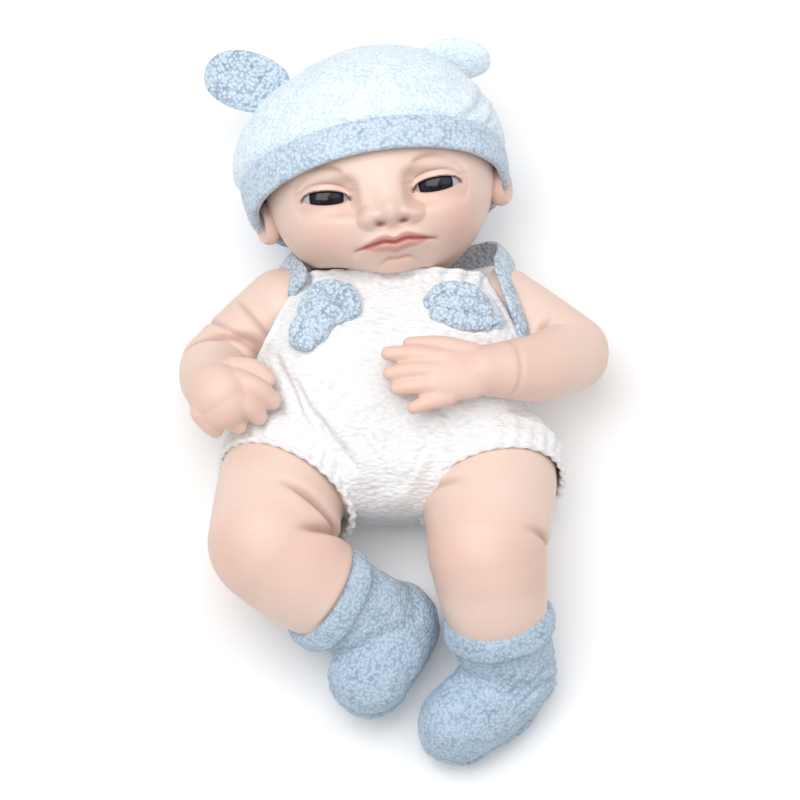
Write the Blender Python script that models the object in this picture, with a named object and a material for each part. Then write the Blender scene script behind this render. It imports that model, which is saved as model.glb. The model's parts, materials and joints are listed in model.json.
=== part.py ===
"""Interactive baby doll, lying on its back: a soft vinyl head and limbs on a two-part hollow torso that holds
a sound module, and the clothes it wears. X runs to the doll's left, Y to the crown of its head, Z up from the
floor. Sizes are in millimetres, and every mesh is written in metres."""

import math

import bmesh
import bpy
from mathutils import Matrix, Vector

MM = 0.001  # metres in one millimetre
UP = Vector((0, 0, 1))
FRAME_SHIFT = Vector((-0.073, 8.115, 0))  # brings the middle of the doll's own box to the origin

# Clearances
SEAT_GAP = 0.4  # pieces that sit on or in each other
RUN_GAP = 0.5  # pieces that turn or slide in each other
CLOTH_GAP = 0.6  # cloth round vinyl
NECK_GAP = 4.2  # room for the straps between the torso's top and the head

# Walls
TORSO_WALL = 2.5
SOCKET_WALL = 3.0
HEAD_WALL = 3.0
LIMB_WALL = 2.4
CLOTH = 2.4  # terry cloth

# Torso stations from crotch to neck: y, half width, back z, front z
TORSO_STATIONS = (
    (-61, 13, 24, 44),
    (-57, 25, 14, 55),
    (-48, 38, 6, 64),
    (-35, 45, 3.4, 67.5),
    (-20, 49, 2.2, 70),
    (-5, 49, 2.2, 71),
    (10, 45.5, 2.2, 69.5),
    (24, 42, 4, 65.5),
    (34, 41, 8, 60.5),
    (40, 40, 9, 58.5),
    (44, 38, 10, 56),
)
TORSO_POWER = 2.35  # squareness of a cross section
TORSO_SIDES = 20
PARTING_Z = 37.0  # plane where the torso's halves meet

# Neck and head
NECK_AXIS = Vector((0, 0.97, 0.24)).normalized()
NECK_SEAT = Vector((0, 44, 33))  # where the neck's axis leaves the torso
NECK_JOURNAL = 9.0
NECK_FLANGE, NECK_BORE = NECK_JOURNAL + 4, NECK_JOURNAL - 4
FLANGE_THICK = 2.4
HEAD = Vector((-6, 84, 53))  # middle of the skull
HEAD_HALF = Vector((49, 48, 50))  # half width, half height and half depth
HEAD_ROLL, HEAD_NOD, HEAD_YAW = 10, 17, -3  # degrees
HEAD_TURN = (
    Matrix.Rotation(math.radians(HEAD_ROLL), 3, "Z")
    @ Matrix.Rotation(math.radians(HEAD_NOD), 3, "X")
    @ Matrix.Rotation(math.radians(HEAD_YAW), 3, "Y")
)
HEAD_ROWS, HEAD_SIDES = 13, 22
FACE = (  # direction, height and width of each swelling
    ((0.52, -0.42, 0.70), 4.2, 0.34),  # cheek
    ((0.46, -0.14, 0.88), -2.6, 0.17),  # eye hollow
    ((0, -0.27, 0.96), 7.0, 0.13),  # nose
    ((0, -0.66, 0.75), 3.0, 0.20),  # lips
    ((0, -0.86, 0.52), 3.0, 0.22),  # chin
)
EAR = Vector((48.5, -13, -3))  # left ear's middle in the head's own axes
EAR_HALF = Vector((4.5, 11, 8))
EYE = Vector((23.2, -7, HEAD_HALF.z - 20.4))
EYE_RADIUS = 11.0
EYE_GAP = 0.9  # round the eyeball
EYE_OPENING = Vector((9.5, 4.2, 14))  # half width, half height and reach of the opening's cutter
EYE_CUP_WALL = 1.8

# Hat
HAT_AXIS = Vector((0, 0.93, -0.37)).normalized()  # in the head's own axes
HAT_RIM, BRIM_TOP = 102.0, 86.0  # degrees from the hat's crown
HAT_ROWS, HAT_SIDES = 7, 22
BRIM = 2.6  # thickness of the turned-up band
HAT_EAR_HALF = Vector((15, 12, 4))
HAT_EARS = {  # middle and turn in degrees
    "left": (Vector((40.5, 43.19, -16)), 62),
    "right": (Vector((-47.5, 46, -8)), 8),
}

# Arms
SHOULDER = Vector((47, 28.2, 37))  # on the left arm's axis
SHOULDER_AXIS = Vector((0.96, -0.28, 0)).normalized()
SHOULDER_IN = 10.0  # from that point in to the socket's face
SHOULDER_RECESS = 20.5  # radius of the socket in the torso's side
SHOULDER_JOURNAL = 4.6
SHOULDER_FLANGE, SHOULDER_BORE = SHOULDER_JOURNAL + 1.7, SHOULDER_JOURNAL - 2.2
ARM_SIDES = 10
LEFT_ARM = (  # centre line and radius, from shoulder to elbow and from elbow to wrist
    (((47, 29, 37), 19), ((60, 22, 39.5), 16.4), ((76, 9, 46), 15.4)),
    (((76, 7, 47), 15.2), ((63, -2, 61), 14.4), ((50, -6, 71), 12.4), ((37, -8, 79), 9.6)),
)
RIGHT_ARM = (
    (((-47, 29, 37), 18.8), ((-59, 21, 34), 16.6), ((-75, 6, 33), 15.4)),
    (((-76, 4, 34), 15.2), ((-75, -4, 48), 14.6), ((-73, -9, 60), 12.4), ((-71, -12, 70), 9.8)),
)
LEFT_PALM = (((37, -8, 79.5), 9), ((28, -9, 81.5), 10.5), ((19, -10, 82.5), 9.5))
LEFT_THUMB = ((30, -1, 80), (20, 4.5, 83), (11, 6.5, 84))
LEFT_REACHES = (21, 25, 24.5, 18)  # length of each finger, from the first to the little one
LEFT_FINGER, LEFT_PITCH = 3.3, 5.6  # radius, and spacing of the fingers
RIGHT_PALM = (((-71, -12, 70), 9.4), ((-67, -14.5, 76), 11), ((-61, -17, 78), 10))
RIGHT_THUMB = ((-66, -5, 74), (-58, -1, 74), (-51, -2, 71))
RIGHT_FINGER, RIGHT_PITCH = 3.6, 5.2
FINGERS = 4
FINGER_SIDES = 6

# Legs
HIP = Vector((42, -38, 35))
HIP_AXIS = Vector((0.87, -0.5, 0)).normalized()
HIP_IN = 8.0
HIP_JOURNAL = 9.0
HIP_FLANGE, HIP_BORE = HIP_JOURNAL + 4, HIP_JOURNAL - 4
LEG_SIDES = 12
LEFT_LEG = (  # centre line and radius, from hip to knee and from knee to ankle
    (((42, -38, 35), 27), ((40.5, -50, 42), 28), ((38.5, -78, 54), 24.4)),
    (((38.5, -80, 54), 24), ((42, -97, 46), 22.2), ((46.5, -115, 29), 16)),
)
RIGHT_LEG = (
    (((-42, -38, 35), 27), ((-46, -50, 42), 27.6), ((-52, -76, 57), 24.2)),
    (((-51, -78, 57), 23.8), ((-36, -90, 50), 22), ((-19, -100, 36), 16)),
)
LEFT_FOOT = (((52, -124, 19), 15), ((39, -136, 20), 15.4), ((27, -145, 18.5), 14.2))  # heel to toes
RIGHT_FOOT = (((2, -103, 24), 14.4), ((-5, -116, 28), 15), ((-10, -127, 30), 13.6))
SLEEVE_REACH = 15.0  # bloomer leg, along the thigh from the hip
LEG_BAND = 5.0  # width of its elastic band
CUFF_AT = 0.74  # place of the bootie's cuff, as a share of the way from knee to ankle
CUFF_WIDE, CUFF_THICK = 9.0, 3.2
FOOT_FLAT = 0.9  # height of a foot, as a share of its width

# Romper
ROMPER_TOP = 5.5  # below the neck's seat, along its axis
ARMHOLE_HEM = 3.0  # cloth kept clear of the shoulder sockets
STRAP_MIDDLE, STRAP_WIDTH = 26.5, 9
LEFT_KNOT = (((17, 27, 68), 7), ((30, 25, 65.5), 8), ((42, 19, 60.5), 6.5))
RIGHT_KNOT = (((-27, 29, 66.5), 8), ((-29, 22, 67), 7), ((-33, 11, 66.5), 5.5))
KNOT_FLAT = 0.85

# Sound module
BUTTON = Vector((0, -18, 0))
BUTTON_RADIUS = 8.0
BUTTON_FLANGE = BUTTON_RADIUS + 2
BUTTON_STEM = 2.6
BUTTON_TRAVEL = 2.5
BUTTON_LIP = 2.0  # thickness of the flange
BUTTON_SINK = 0.9  # top of the button below the torso's surface
BUTTON_STOP = 1.2  # from the torso's inner surface to the flange
SPRING_RADIUS, SPRING_WIRE, SPRING_TURNS = BUTTON_RADIUS - 1.8, 0.45, 4
BOARD = Vector((0, -19, 53))  # middle of the circuit board's underside
BOARD_SIZE = Vector((42, 30, 1.6))
BOARD_POSTS = ((-16, -28), (16, -28))
SWITCH = Vector((6, 6, 3.6))
CHIP = Vector((9, 9, 1.6))
SPEAKER = Vector((0, 12.5, 52.5))  # middle of the speaker's back rim
SPEAKER_RADIUS, SPEAKER_DEPTH = 13.5, 5.0
MAGNET_RADIUS, MAGNET_DEPTH = 7.5, 5.0
CELL_RADIUS, CELL_DEPTH = 5.8, 5.4
CELL_PITCH = 2 * CELL_RADIUS + 1
BATTERY = Vector((0, -6, 0))
TRAY_WALL = 1.6
DOOR = Vector((50, 17, 1.8))  # width, height and thickness
TORSO_SCREWS = ((-27, 14), (27, 14), (-19, -41), (19, -41))
POST_RADIUS, SCREW_RADIUS, SCREW_HEAD, SCREW_HEAD_HIGH = 3.6, 1.3, 2.6, 2.2
SCREW_SEAT = 12.0  # from the parting plane down to a torso screw's head
SCREW_BITE = 8.0  # of a screw in the front shell
SOUND_HOLE, SOUND_SPREAD, SOUND_HOLES = 1.3, 6.0, 6  # radius, ring's radius and number on the ring
DOOR_SINK = 0.8  # door's outer face inside the lowest edge of its opening
POWER = Vector((31, -8, 0))
KNOB = Vector((3, 4, 3))
POWER_BODY = Vector((7, 12, 5))
KNOB_TRAVEL = 2.0

SKINS = {  # colour, roughness, metallic
    "vinyl_skin": ((0.88, 0.68, 0.58), 0.45, 0.0),
    "torso_plastic": ((0.86, 0.66, 0.56), 0.5, 0.0),
    "eye_acrylic": ((0.05, 0.06, 0.09), 0.1, 0.0),
    "white_terry": ((0.9, 0.92, 0.92), 0.9, 0.0),
    "blue_terry": ((0.55, 0.66, 0.76), 0.9, 0.0),
    "grey_plastic": ((0.5, 0.5, 0.52), 0.5, 0.0),
    "black_plastic": ((0.03, 0.03, 0.035), 0.45, 0.0),
    "board_green": ((0.03, 0.25, 0.1), 0.5, 0.0),
    "steel": ((0.6, 0.6, 0.62), 0.3, 1.0),
    "speaker_paper": ((0.08, 0.07, 0.06), 0.85, 0.0),
}
PIVOTS = {
    "torso": Vector((0, 0, 0)),
    "head": NECK_SEAT,
    "left_arm": SHOULDER,
    "right_arm": Vector((-SHOULDER.x, SHOULDER.y, SHOULDER.z)),
    "left_leg": HIP,
    "right_leg": Vector((-HIP.x, HIP.y, HIP.z)),
    "tummy_button": BUTTON,
    "power_switch": POWER,
}


# Scene and mesh helpers


def clear_scene():
    for obj in list(bpy.data.objects):
        bpy.data.objects.remove(obj)


def skin_material(name):
    made = bpy.data.materials.get(name)
    if made is None:
        colour, roughness, metallic = SKINS[name]
        made = bpy.data.materials.new(name)
        made.use_nodes = True
        shader = made.node_tree.nodes["Principled BSDF"]
        shader.inputs["Base Color"].default_value = (*colour, 1)
        shader.inputs["Roughness"].default_value = roughness
        shader.inputs["Metallic"].default_value = metallic
    return made


def pivot_empty(body):
    name = f"pivot_{body}"
    empty = bpy.data.objects.get(name)
    if empty is None:
        empty = bpy.data.objects.new(name, None)
        empty.location = (FRAME_SHIFT + PIVOTS[body]) * MM
        bpy.context.scene.collection.objects.link(empty)
    return empty


def solid(name, rings, body="torso", skin=None, closed=False):
    """A closed solid through rings of points, given in the doll's millimetres. A ring of one point is a tip,
    and closed joins the last ring to the first. Without a skin it is a hidden cutter."""
    bm = bmesh.new()
    loops = [[bm.verts.new((Vector(p) - PIVOTS[body]) * MM) for p in ring] for ring in rings]
    pairs = list(zip(loops, loops[1:])) + ([(loops[-1], loops[0])] if closed else [])
    for low, high in pairs:
        count = max(len(low), len(high))
        for i in range(count):
            j = (i + 1) % count
            corners = [low[i % len(low)], low[j % len(low)], high[j % len(high)], high[i % len(high)]]
            bm.faces.new(list(dict.fromkeys(corners)))
    if not closed:
        for loop in (loops[0], loops[-1]):
            if len(loop) > 1:
                bm.faces.new(loop)
    bmesh.ops.recalc_face_normals(bm, faces=bm.faces)
    bmesh.ops.triangulate(bm, faces=bm.faces)
    mesh = bpy.data.meshes.new(name)
    bm.to_mesh(mesh)
    bm.free()
    obj = bpy.data.objects.new(name, mesh)
    obj.parent = pivot_empty(body)
    bpy.context.scene.collection.objects.link(obj)
    if skin:
        mesh.materials.append(skin_material(skin))
        mesh.shade_smooth()
        mesh.set_sharp_from_angle(angle=math.radians(40))
    else:
        obj.hide_render = True
        obj.display_type = "WIRE"
    return obj


def combine(obj, operation, *others):
    """Adds one exact Boolean step for all the other solids together."""
    if not others:
        return obj
    step = obj.modifiers.new(f"{operation.lower()} {others[0].name}", "BOOLEAN")
    step.operation = operation
    step.solver = "EXACT"
    if len(others) == 1:
        step.object = others[0]
        return obj
    group = bpy.data.collections.new(step.name)
    for other in others:
        group.objects.link(other)
    step.operand_type = "COLLECTION"
    step.collection = group
    return obj


def take(obj, *others):
    return combine(obj, "DIFFERENCE", *others)


def add(obj, *others):
    return combine(obj, "UNION", *others)


# Shapes


def mirrored(vector):
    vector = Vector(vector)
    return Vector((-vector.x, vector.y, vector.z))


def circle(centre, axis, radius, sides):
    axis = Vector(axis).normalized()
    across = axis.cross(UP if abs(axis.z) < 0.9 else Vector((0, 1, 0))).normalized()
    over = axis.cross(across)
    turns = [math.tau * i / sides for i in range(sides)]
    return [Vector(centre) + radius * (math.cos(t) * across + math.sin(t) * over) for t in turns]


def turned(name, profile, origin, axis, body="torso", skin=None, sides=16):
    """Revolves (radius, height) points about an axis. A profile with both ends off the axis is a ring."""
    axis = Vector(axis).normalized()
    origin = Vector(origin)
    rings = [
        circle(origin + axis * height, axis, radius, sides) if radius else [origin + axis * height]
        for radius, height in profile
    ]
    return solid(name, rings, body, skin, closed=bool(profile[0][0] and profile[-1][0]))


def rod(name, origin, axis, radius, low, high, body="torso", skin=None, sides=16):
    return turned(name, ((0, low), (radius, low), (radius, high), (0, high)), origin, axis, body, skin, sides)


def tube(name, origin, axis, inner, outer, low, high, body="torso", skin=None, sides=16):
    profile = ((inner, low), (outer, low), (outer, high), (inner, high))
    return turned(name, profile, origin, axis, body, skin, sides)


def block(name, centre, size, body="torso", skin=None, axis=UP):
    """A box whose third size runs along an axis."""
    axis = Vector(axis).normalized()
    across = (Vector((0, 1, 0)).cross(axis) if abs(axis.y) < 0.9 else Vector((1, 0, 0))).normalized()
    over = axis.cross(across)
    centre, half = Vector(centre), Vector(size) / 2
    signs = ((-1, -1), (1, -1), (1, 1), (-1, 1))
    rings = [
        [centre + across * half.x * a + over * half.y * b + axis * half.z * c for a, b in signs]
        for c in (-1, 1)
    ]
    return solid(name, rings, body, skin)


def beyond(name, point, axis, body="torso", reach=160):
    """A cutter that fills the space beyond a plane."""
    axis = Vector(axis).normalized()
    centre = Vector(point) + axis * reach / 2
    return block(name, centre, (2 * reach, 2 * reach, reach), body, axis=axis)


def ball(name, centre, half, body="torso", skin=None, turn=None, rows=10, sides=16):
    """An ellipsoid with half sizes along its own axes, turned by a rotation matrix."""
    turn = turn or Matrix.Identity(3)
    centre, half = Vector(centre), Vector(half)
    rings = []
    for i in range(rows + 1):
        polar = math.pi * i / rows
        count = sides if 0 < i < rows else 1
        rings.append([
            centre + turn @ Vector((
                half.x * math.sin(polar) * math.cos(math.tau * j / sides),
                half.y * math.sin(polar) * math.sin(math.tau * j / sides),
                half.z * math.cos(polar),
            ))
            for j in range(count)
        ])
    return solid(name, rings, body, skin)


def smooth_path(stations, per_span=3):
    """Catmull-Rom curve through (point, radius) stations, as (point, radius) pairs."""
    points = [Vector((*point, radius)) for point, radius in stations]
    points = [2 * points[0] - points[1], *points, 2 * points[-1] - points[-2]]
    path = []
    for before, start, end, after in zip(points, points[1:], points[2:], points[3:]):
        for k in range(per_span):
            t = k / per_span
            spot = (
                2 * start + (end - before) * t + (2 * before - 5 * start + 4 * end - after) * t**2
                + (3 * start - before - 3 * end + after) * t**3
            ) / 2
            path.append((spot.xyz, spot.w))
    path.append((points[-2].xyz, points[-2].w))
    return path


def swept(name, stations, grow=0.0, body="torso", skin=None, sides=16, per_span=3, flat=1.0, flat_axis=UP):
    """A tube along stations with round ends. Flat scales its thickness along flat_axis."""
    path = [(point, radius + grow) for point, radius in smooth_path(stations, per_span)]
    flat_axis = Vector(flat_axis).normalized()
    ends = []
    for (point, radius), (other, _) in ((path[0], path[1]), (path[-1], path[-2])):
        out = (point - other).normalized()
        ends.append([(point + out * radius * math.sin(a), radius * math.cos(a)) for a in (0.85,)])
        ends[-1].append((point + out * radius, 0))
    stops = list(reversed(ends[0])) + path + ends[1]
    rings = []
    across = None
    for i, (point, radius) in enumerate(stops):
        before = stops[max(i - 1, 0)][0]
        after = stops[min(i + 1, len(stops) - 1)][0]
        along = (after - before).normalized()
        if across is None:
            across = along.cross(flat_axis if abs(along.dot(flat_axis)) < 0.9 else Vector((1, 0.2, 0)))
        across = (across - along * across.dot(along)).normalized()
        over = along.cross(across)
        if radius == 0:
            rings.append([point])
            continue
        ring = []
        for j in range(sides):
            t = math.tau * j / sides
            offset = radius * (math.cos(t) * across + math.sin(t) * over)
            ring.append(point + offset - flat_axis * offset.dot(flat_axis) * (1 - flat))
        rings.append(ring)
    return solid(name, rings, body, skin)


# Torso


def torso_solid(name, grow=0.0, skin=None):
    """The torso's outline grown or shrunk, with its top square to the neck's axis."""
    lowest, highest = TORSO_STATIONS[0][0], TORSO_STATIONS[-1][0]
    middle, half_length = (lowest + highest) / 2, (highest - lowest) / 2
    slope = NECK_AXIS.z / NECK_AXIS.y
    rings = []
    for y, half, back, front in TORSO_STATIONS:
        lean = slope * min(max((y - middle) / (highest - middle), 0), 1) ** 2
        y_grown = middle + (y - middle) * (1 + grow / half_length)
        height, z_middle = (front - back) / 2 + grow, (front + back) / 2
        ring = []
        for i in range(TORSO_SIDES):
            c, s = math.cos(math.tau * i / TORSO_SIDES), math.sin(math.tau * i / TORSO_SIDES)
            x = (half + grow) * math.copysign(abs(c) ** (2 / TORSO_POWER), c)
            z = z_middle + height * math.copysign(abs(s) ** (2 / TORSO_POWER), s)
            ring.append(Vector((x, y_grown - lean * (z - NECK_SEAT.z), z)))
        rings.append(ring)
    return solid(name, rings, "torso", skin)


def sides_of(vector, axis):
    """The same point and axis on the left and on the right."""
    return (("left", Vector(vector), Vector(axis)), ("right", mirrored(vector), mirrored(axis)))


def socket_cutters(prefix, inward, widen):
    """Cutters for both hip planes and both shoulder recesses, moved in by one wall and widened by another."""
    cutters = []
    for side, hip, axis in sides_of(HIP, HIP_AXIS):
        cutters.append(beyond(f"{prefix}_{side}_hip", hip - axis * (HIP_IN + inward), axis))
    for side, shoulder, axis in sides_of(SHOULDER, SHOULDER_AXIS):
        face = shoulder - axis * (SHOULDER_IN + inward)
        cutters.append(rod(f"{prefix}_{side}_shoulder", face, axis, SHOULDER_RECESS + widen, 0, 60, sides=20))
    return cutters


class Shell:
    """One half of the torso: its cuts, then the posts added to it, then the bores through both."""

    def __init__(self, name, out):
        self.out = out
        self.solid = torso_solid(name, 0, "torso_plastic")
        parting = Vector((0, 0, PARTING_Z + out * SEAT_GAP / 2))
        self.cuts = [beyond(f"{name}_parting", parting, -out * UP)]
        self.posts = []
        self.bores = []

    def finish(self):
        take(self.solid, *self.cuts)
        add(self.solid, *self.posts)
        take(self.solid, *self.bores)


def torso_shells():
    hollow = torso_solid("torso_hollow", -TORSO_WALL)
    take(hollow, *socket_cutters("hollow", SOCKET_WALL, TORSO_WALL))
    holes = [rod("neck_hole", NECK_SEAT, NECK_AXIS, NECK_JOURNAL + RUN_GAP, -8, 8)]
    for side, hip, axis in sides_of(HIP, HIP_AXIS):
        holes.append(rod(f"{side}_hip_hole", hip - axis * HIP_IN, axis, HIP_JOURNAL + RUN_GAP, -8, 8))
    for side, shoulder, axis in sides_of(SHOULDER, SHOULDER_AXIS):
        face = shoulder - axis * SHOULDER_IN
        holes.append(rod(f"{side}_shoulder_hole", face, axis, SHOULDER_JOURNAL + RUN_GAP, -8, 8))
    faces = socket_cutters("face", 0, 0)
    inside = torso_solid("torso_inside", -TORSO_WALL / 2)
    front, back = Shell("torso_front_shell", 1), Shell("torso_back_shell", -1)
    for shell in (front, back):
        shell.cuts += [hollow, *faces, *holes]
    for i, (x, y) in enumerate(TORSO_SCREWS, 1):
        spot = Vector((x, y, PARTING_Z))
        low_post = rod(f"back_post_{i}", spot, UP, POST_RADIUS, -PARTING_Z, -SEAT_GAP / 2, sides=8)
        high_post = rod(f"front_post_{i}", spot, UP, POST_RADIUS, SEAT_GAP / 2, PARTING_Z, sides=8)
        for shell, post in ((back, low_post), (front, high_post)):
            shell.posts.append(combine(post, "INTERSECT", inside))
        seat = PARTING_Z - SCREW_SEAT
        hole, sink = SCREW_RADIUS + SEAT_GAP, SCREW_HEAD + SEAT_GAP
        back.bores.append(turned(f"screw_way_{i}", (
            (0, -PARTING_Z - 3), (sink, -PARTING_Z - 3), (sink, -SCREW_SEAT), (hole, -SCREW_SEAT),
            (hole, 5), (0, 5)), spot, UP, sides=8))
        front.bores.append(rod(f"screw_bite_{i}", spot, UP, hole, -5, SCREW_BITE + 4, sides=8))
        screw(f"torso_screw_{i}", Vector((x, y, seat - SEAT_GAP)), UP, SEAT_GAP + SCREW_SEAT + SCREW_BITE)
    return front, back


def screw(name, head_seat, axis, length):
    profile = (
        (0, -SCREW_HEAD_HIGH), (SCREW_HEAD, -SCREW_HEAD_HIGH), (SCREW_HEAD, 0), (SCREW_RADIUS, 0),
        (SCREW_RADIUS, length - 1.5), (0, length),
    )
    return turned(name, profile, head_seat, axis, "torso", "steel", sides=8)


# Sound module


def wall_z(x, y, side):
    """Height of the torso's front (side 1) or back (side -1) surface over a point."""
    for low, high in zip(TORSO_STATIONS, TORSO_STATIONS[1:]):
        if low[0] <= y <= high[0]:
            share = (y - low[0]) / (high[0] - low[0])
            half, back, front = (a + (b - a) * share for a, b in zip(low[1:], high[1:]))
            rise = (1 - (abs(x) / half) ** TORSO_POWER) ** (1 / TORSO_POWER)
            return (front + back) / 2 + side * (front - back) / 2 * rise
    raise ValueError(f"no torso at y {y}")


def sound_module(front, back):
    wall_top = wall_z(BUTTON.x, BUTTON.y, 1)
    flange_top = wall_top - TORSO_WALL - BUTTON_STOP
    button_top = wall_top - BUTTON_SINK
    board_top = BOARD.z + BOARD_SIZE.z
    room = BUTTON_FLANGE + RUN_GAP
    front.cuts += [
        rod("button_hole", BUTTON, UP, BUTTON_RADIUS + RUN_GAP, flange_top - BUTTON_LIP, wall_top + 5),
        rod("button_seat", BUTTON, UP, room, flange_top - 8, flange_top + RUN_GAP),
    ]
    stem_end = board_top + SEAT_GAP + SWITCH.z + BUTTON_TRAVEL + RUN_GAP
    turned("tummy_button", (
        (0, stem_end), (BUTTON_STEM, stem_end), (BUTTON_STEM, flange_top - BUTTON_LIP),
        (BUTTON_FLANGE, flange_top - BUTTON_LIP), (BUTTON_FLANGE, flange_top), (BUTTON_RADIUS, flange_top),
        (BUTTON_RADIUS, button_top - 0.7), (BUTTON_RADIUS - 1, button_top), (0, button_top)),
        BUTTON, UP, "tummy_button", "grey_plastic")
    spring_room = SPRING_WIRE + SEAT_GAP  # the end turns' middles stand off what they bear on
    coil_spring("tummy_button_spring", board_top + spring_room, flange_top - BUTTON_LIP - spring_room)
    board = block("circuit_board", BOARD + UP * BOARD_SIZE.z / 2, BOARD_SIZE, skin="board_green")
    for i, (x, y) in enumerate(BOARD_POSTS, 1):
        top = wall_z(x, y, 1) - TORSO_WALL / 2
        spot = Vector((x, y, 0))
        front.posts.append(rod(f"board_post_{i}", spot, UP, POST_RADIUS, board_top + SEAT_GAP, top, sides=8))
        hole = rod(f"board_hole_{i}", spot, UP, SCREW_RADIUS + SEAT_GAP, BOARD.z - 5, board_top + 8, sides=8)
        front.bores.append(hole)
        take(board, hole)
        screw(f"board_screw_{i}", Vector((x, y, BOARD.z - SEAT_GAP)), UP, 8)
    switch_middle = Vector((BUTTON.x, BUTTON.y, board_top + SEAT_GAP + SWITCH.z / 2))
    block("button_switch", switch_middle, SWITCH, skin="black_plastic")
    chip_middle = Vector((-8, BOARD.y + 6, BOARD.z - SEAT_GAP - CHIP.z / 2))
    block("sound_chip", chip_middle, CHIP, skin="black_plastic")
    speaker(front)
    batteries(back)
    power_switch(back)


def coil_spring(name, low, high):
    sides, per_turn = 4, 8
    count = SPRING_TURNS * per_turn
    rings = []
    for i in range(count + 1):
        turn = math.tau * i / per_turn
        out = Vector((math.cos(turn), math.sin(turn), 0))
        middle = BUTTON + out * SPRING_RADIUS + UP * (low + (high - low) * i / count)
        section = [math.tau * j / sides for j in range(sides)]
        rings.append([middle + SPRING_WIRE * (math.cos(a) * out + math.sin(a) * UP) for a in section])
    return solid(name, rings, "torso", "steel")


def speaker(front):
    rim = SPEAKER_RADIUS
    seat_top = wall_z(0, SPEAKER.y, 1) - TORSO_WALL / 2
    collar = tube("speaker_collar", SPEAKER, UP, rim + SEAT_GAP, rim + SEAT_GAP + 2, 0, seat_top - SPEAKER.z)
    front.posts.append(combine(collar, "INTERSECT", torso_solid("collar_limit", -TORSO_WALL / 2)))
    for i in range(SOUND_HOLES + 1):
        turn = math.tau * i / SOUND_HOLES
        spread = SOUND_SPREAD if i < SOUND_HOLES else 0.0
        spot = SPEAKER + Vector((math.cos(turn) * spread, math.sin(turn) * spread, 0))
        front.cuts.append(rod(f"sound_hole_{i + 1}", spot, UP, SOUND_HOLE, 4, 30, sides=6))
    turned("speaker_frame", (
        (rim - 2, SPEAKER_DEPTH), (rim - 2, SPEAKER_DEPTH - 1), (MAGNET_RADIUS - 2, 0.8),
        (MAGNET_RADIUS - 2, 0), (MAGNET_RADIUS + 2, 0), (rim, SPEAKER_DEPTH - 2.4), (rim, SPEAKER_DEPTH)),
        SPEAKER, UP, skin="steel")
    cone = rim - 2 - SEAT_GAP
    turned("speaker_cone", (
        (0, 3.0), (4, 2.4), (cone, SPEAKER_DEPTH + 0.3), (cone, SPEAKER_DEPTH + 0.9), (4, 3.2), (0, 3.8)),
        SPEAKER, UP, skin="speaker_paper")
    rod("speaker_magnet", SPEAKER, UP, MAGNET_RADIUS, -SEAT_GAP - MAGNET_DEPTH, -SEAT_GAP, skin="steel")


def batteries(back):
    door_low = wall_z(DOOR.x / 2, BATTERY.y, -1) + DOOR_SINK
    door_middle = BATTERY + UP * (door_low + DOOR.z / 2)
    tray_low = door_low + DOOR.z + SEAT_GAP
    tray_width = 2 * (CELL_RADIUS + 0.6 + TRAY_WALL)
    tray_size = Vector((3 * CELL_PITCH + 2 * TRAY_WALL, tray_width, CELL_DEPTH + 4.4))
    opening = Vector((DOOR.x + 2 * SEAT_GAP, DOOR.y + 2 * SEAT_GAP, 20))
    back.cuts.append(block("door_opening", BATTERY + UP * 6, opening))
    door = block("battery_door", door_middle, DOOR, skin="torso_plastic")
    tray = block("battery_tray", BATTERY + UP * (tray_low + tray_size.z / 2), tray_size, skin="black_plastic")
    screw_spot = Vector((DOOR.x / 2 - 3.7, BATTERY.y, 0))
    wing = block("tray_wing", Vector((0, BATTERY.y, tray_low + tray_size.z - 1)), (DOOR.x + 1, 12, 2))
    add(tray, wing)
    for i in range(3):
        spot = BATTERY + Vector(((i - 1) * CELL_PITCH - 1.5, 0, 0))
        pocket_top = tray_low + CELL_DEPTH + 1.4
        take(tray, rod(f"cell_pocket_{i + 1}", spot, UP, CELL_RADIUS + 0.3, tray_low - 1, pocket_top))
        low = tray_low + 0.3
        turned(f"battery_cell_{i + 1}", (
            (0, low), (CELL_RADIUS - 1, low), (CELL_RADIUS, low + 0.8), (CELL_RADIUS, low + CELL_DEPTH),
            (0, low + CELL_DEPTH)), spot, UP, skin="steel", sides=20)
    head_low, head_high = door_low + 0.1, door_low + 0.8
    tray_high = tray_low + tray_size.z
    hole = rod("door_screw_hole", screw_spot, UP, SCREW_RADIUS + SEAT_GAP, 0, tray_high + 5, sides=8)
    sink = rod("door_screw_sink", screw_spot, UP, SCREW_HEAD + SEAT_GAP, 0, head_high + SEAT_GAP, sides=8)
    take(door, hole, sink)
    take(tray, hole)
    turned("battery_door_screw", (
        (0, head_low), (SCREW_HEAD, head_low), (SCREW_HEAD, head_high), (SCREW_RADIUS, head_high),
        (SCREW_RADIUS, tray_high - 1), (0, tray_high)), screw_spot, UP, skin="steel", sides=8)


def power_switch(back):
    inner_z = wall_z(POWER.x, POWER.y, -1) + TORSO_WALL
    slot = Vector((KNOB.x + 2 * RUN_GAP, KNOB.y + 2 * (KNOB_TRAVEL + RUN_GAP), 24))
    back.cuts.append(block("switch_slot", POWER, slot))
    knob_middle = POWER + UP * (inner_z + 0.6)
    body_middle = knob_middle + UP * ((KNOB.z + POWER_BODY.z) / 2 + 1.3)
    block("power_switch_body", body_middle, POWER_BODY, skin="black_plastic")
    block("power_switch_knob", knob_middle, KNOB, "power_switch", "grey_plastic")


# Head


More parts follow.
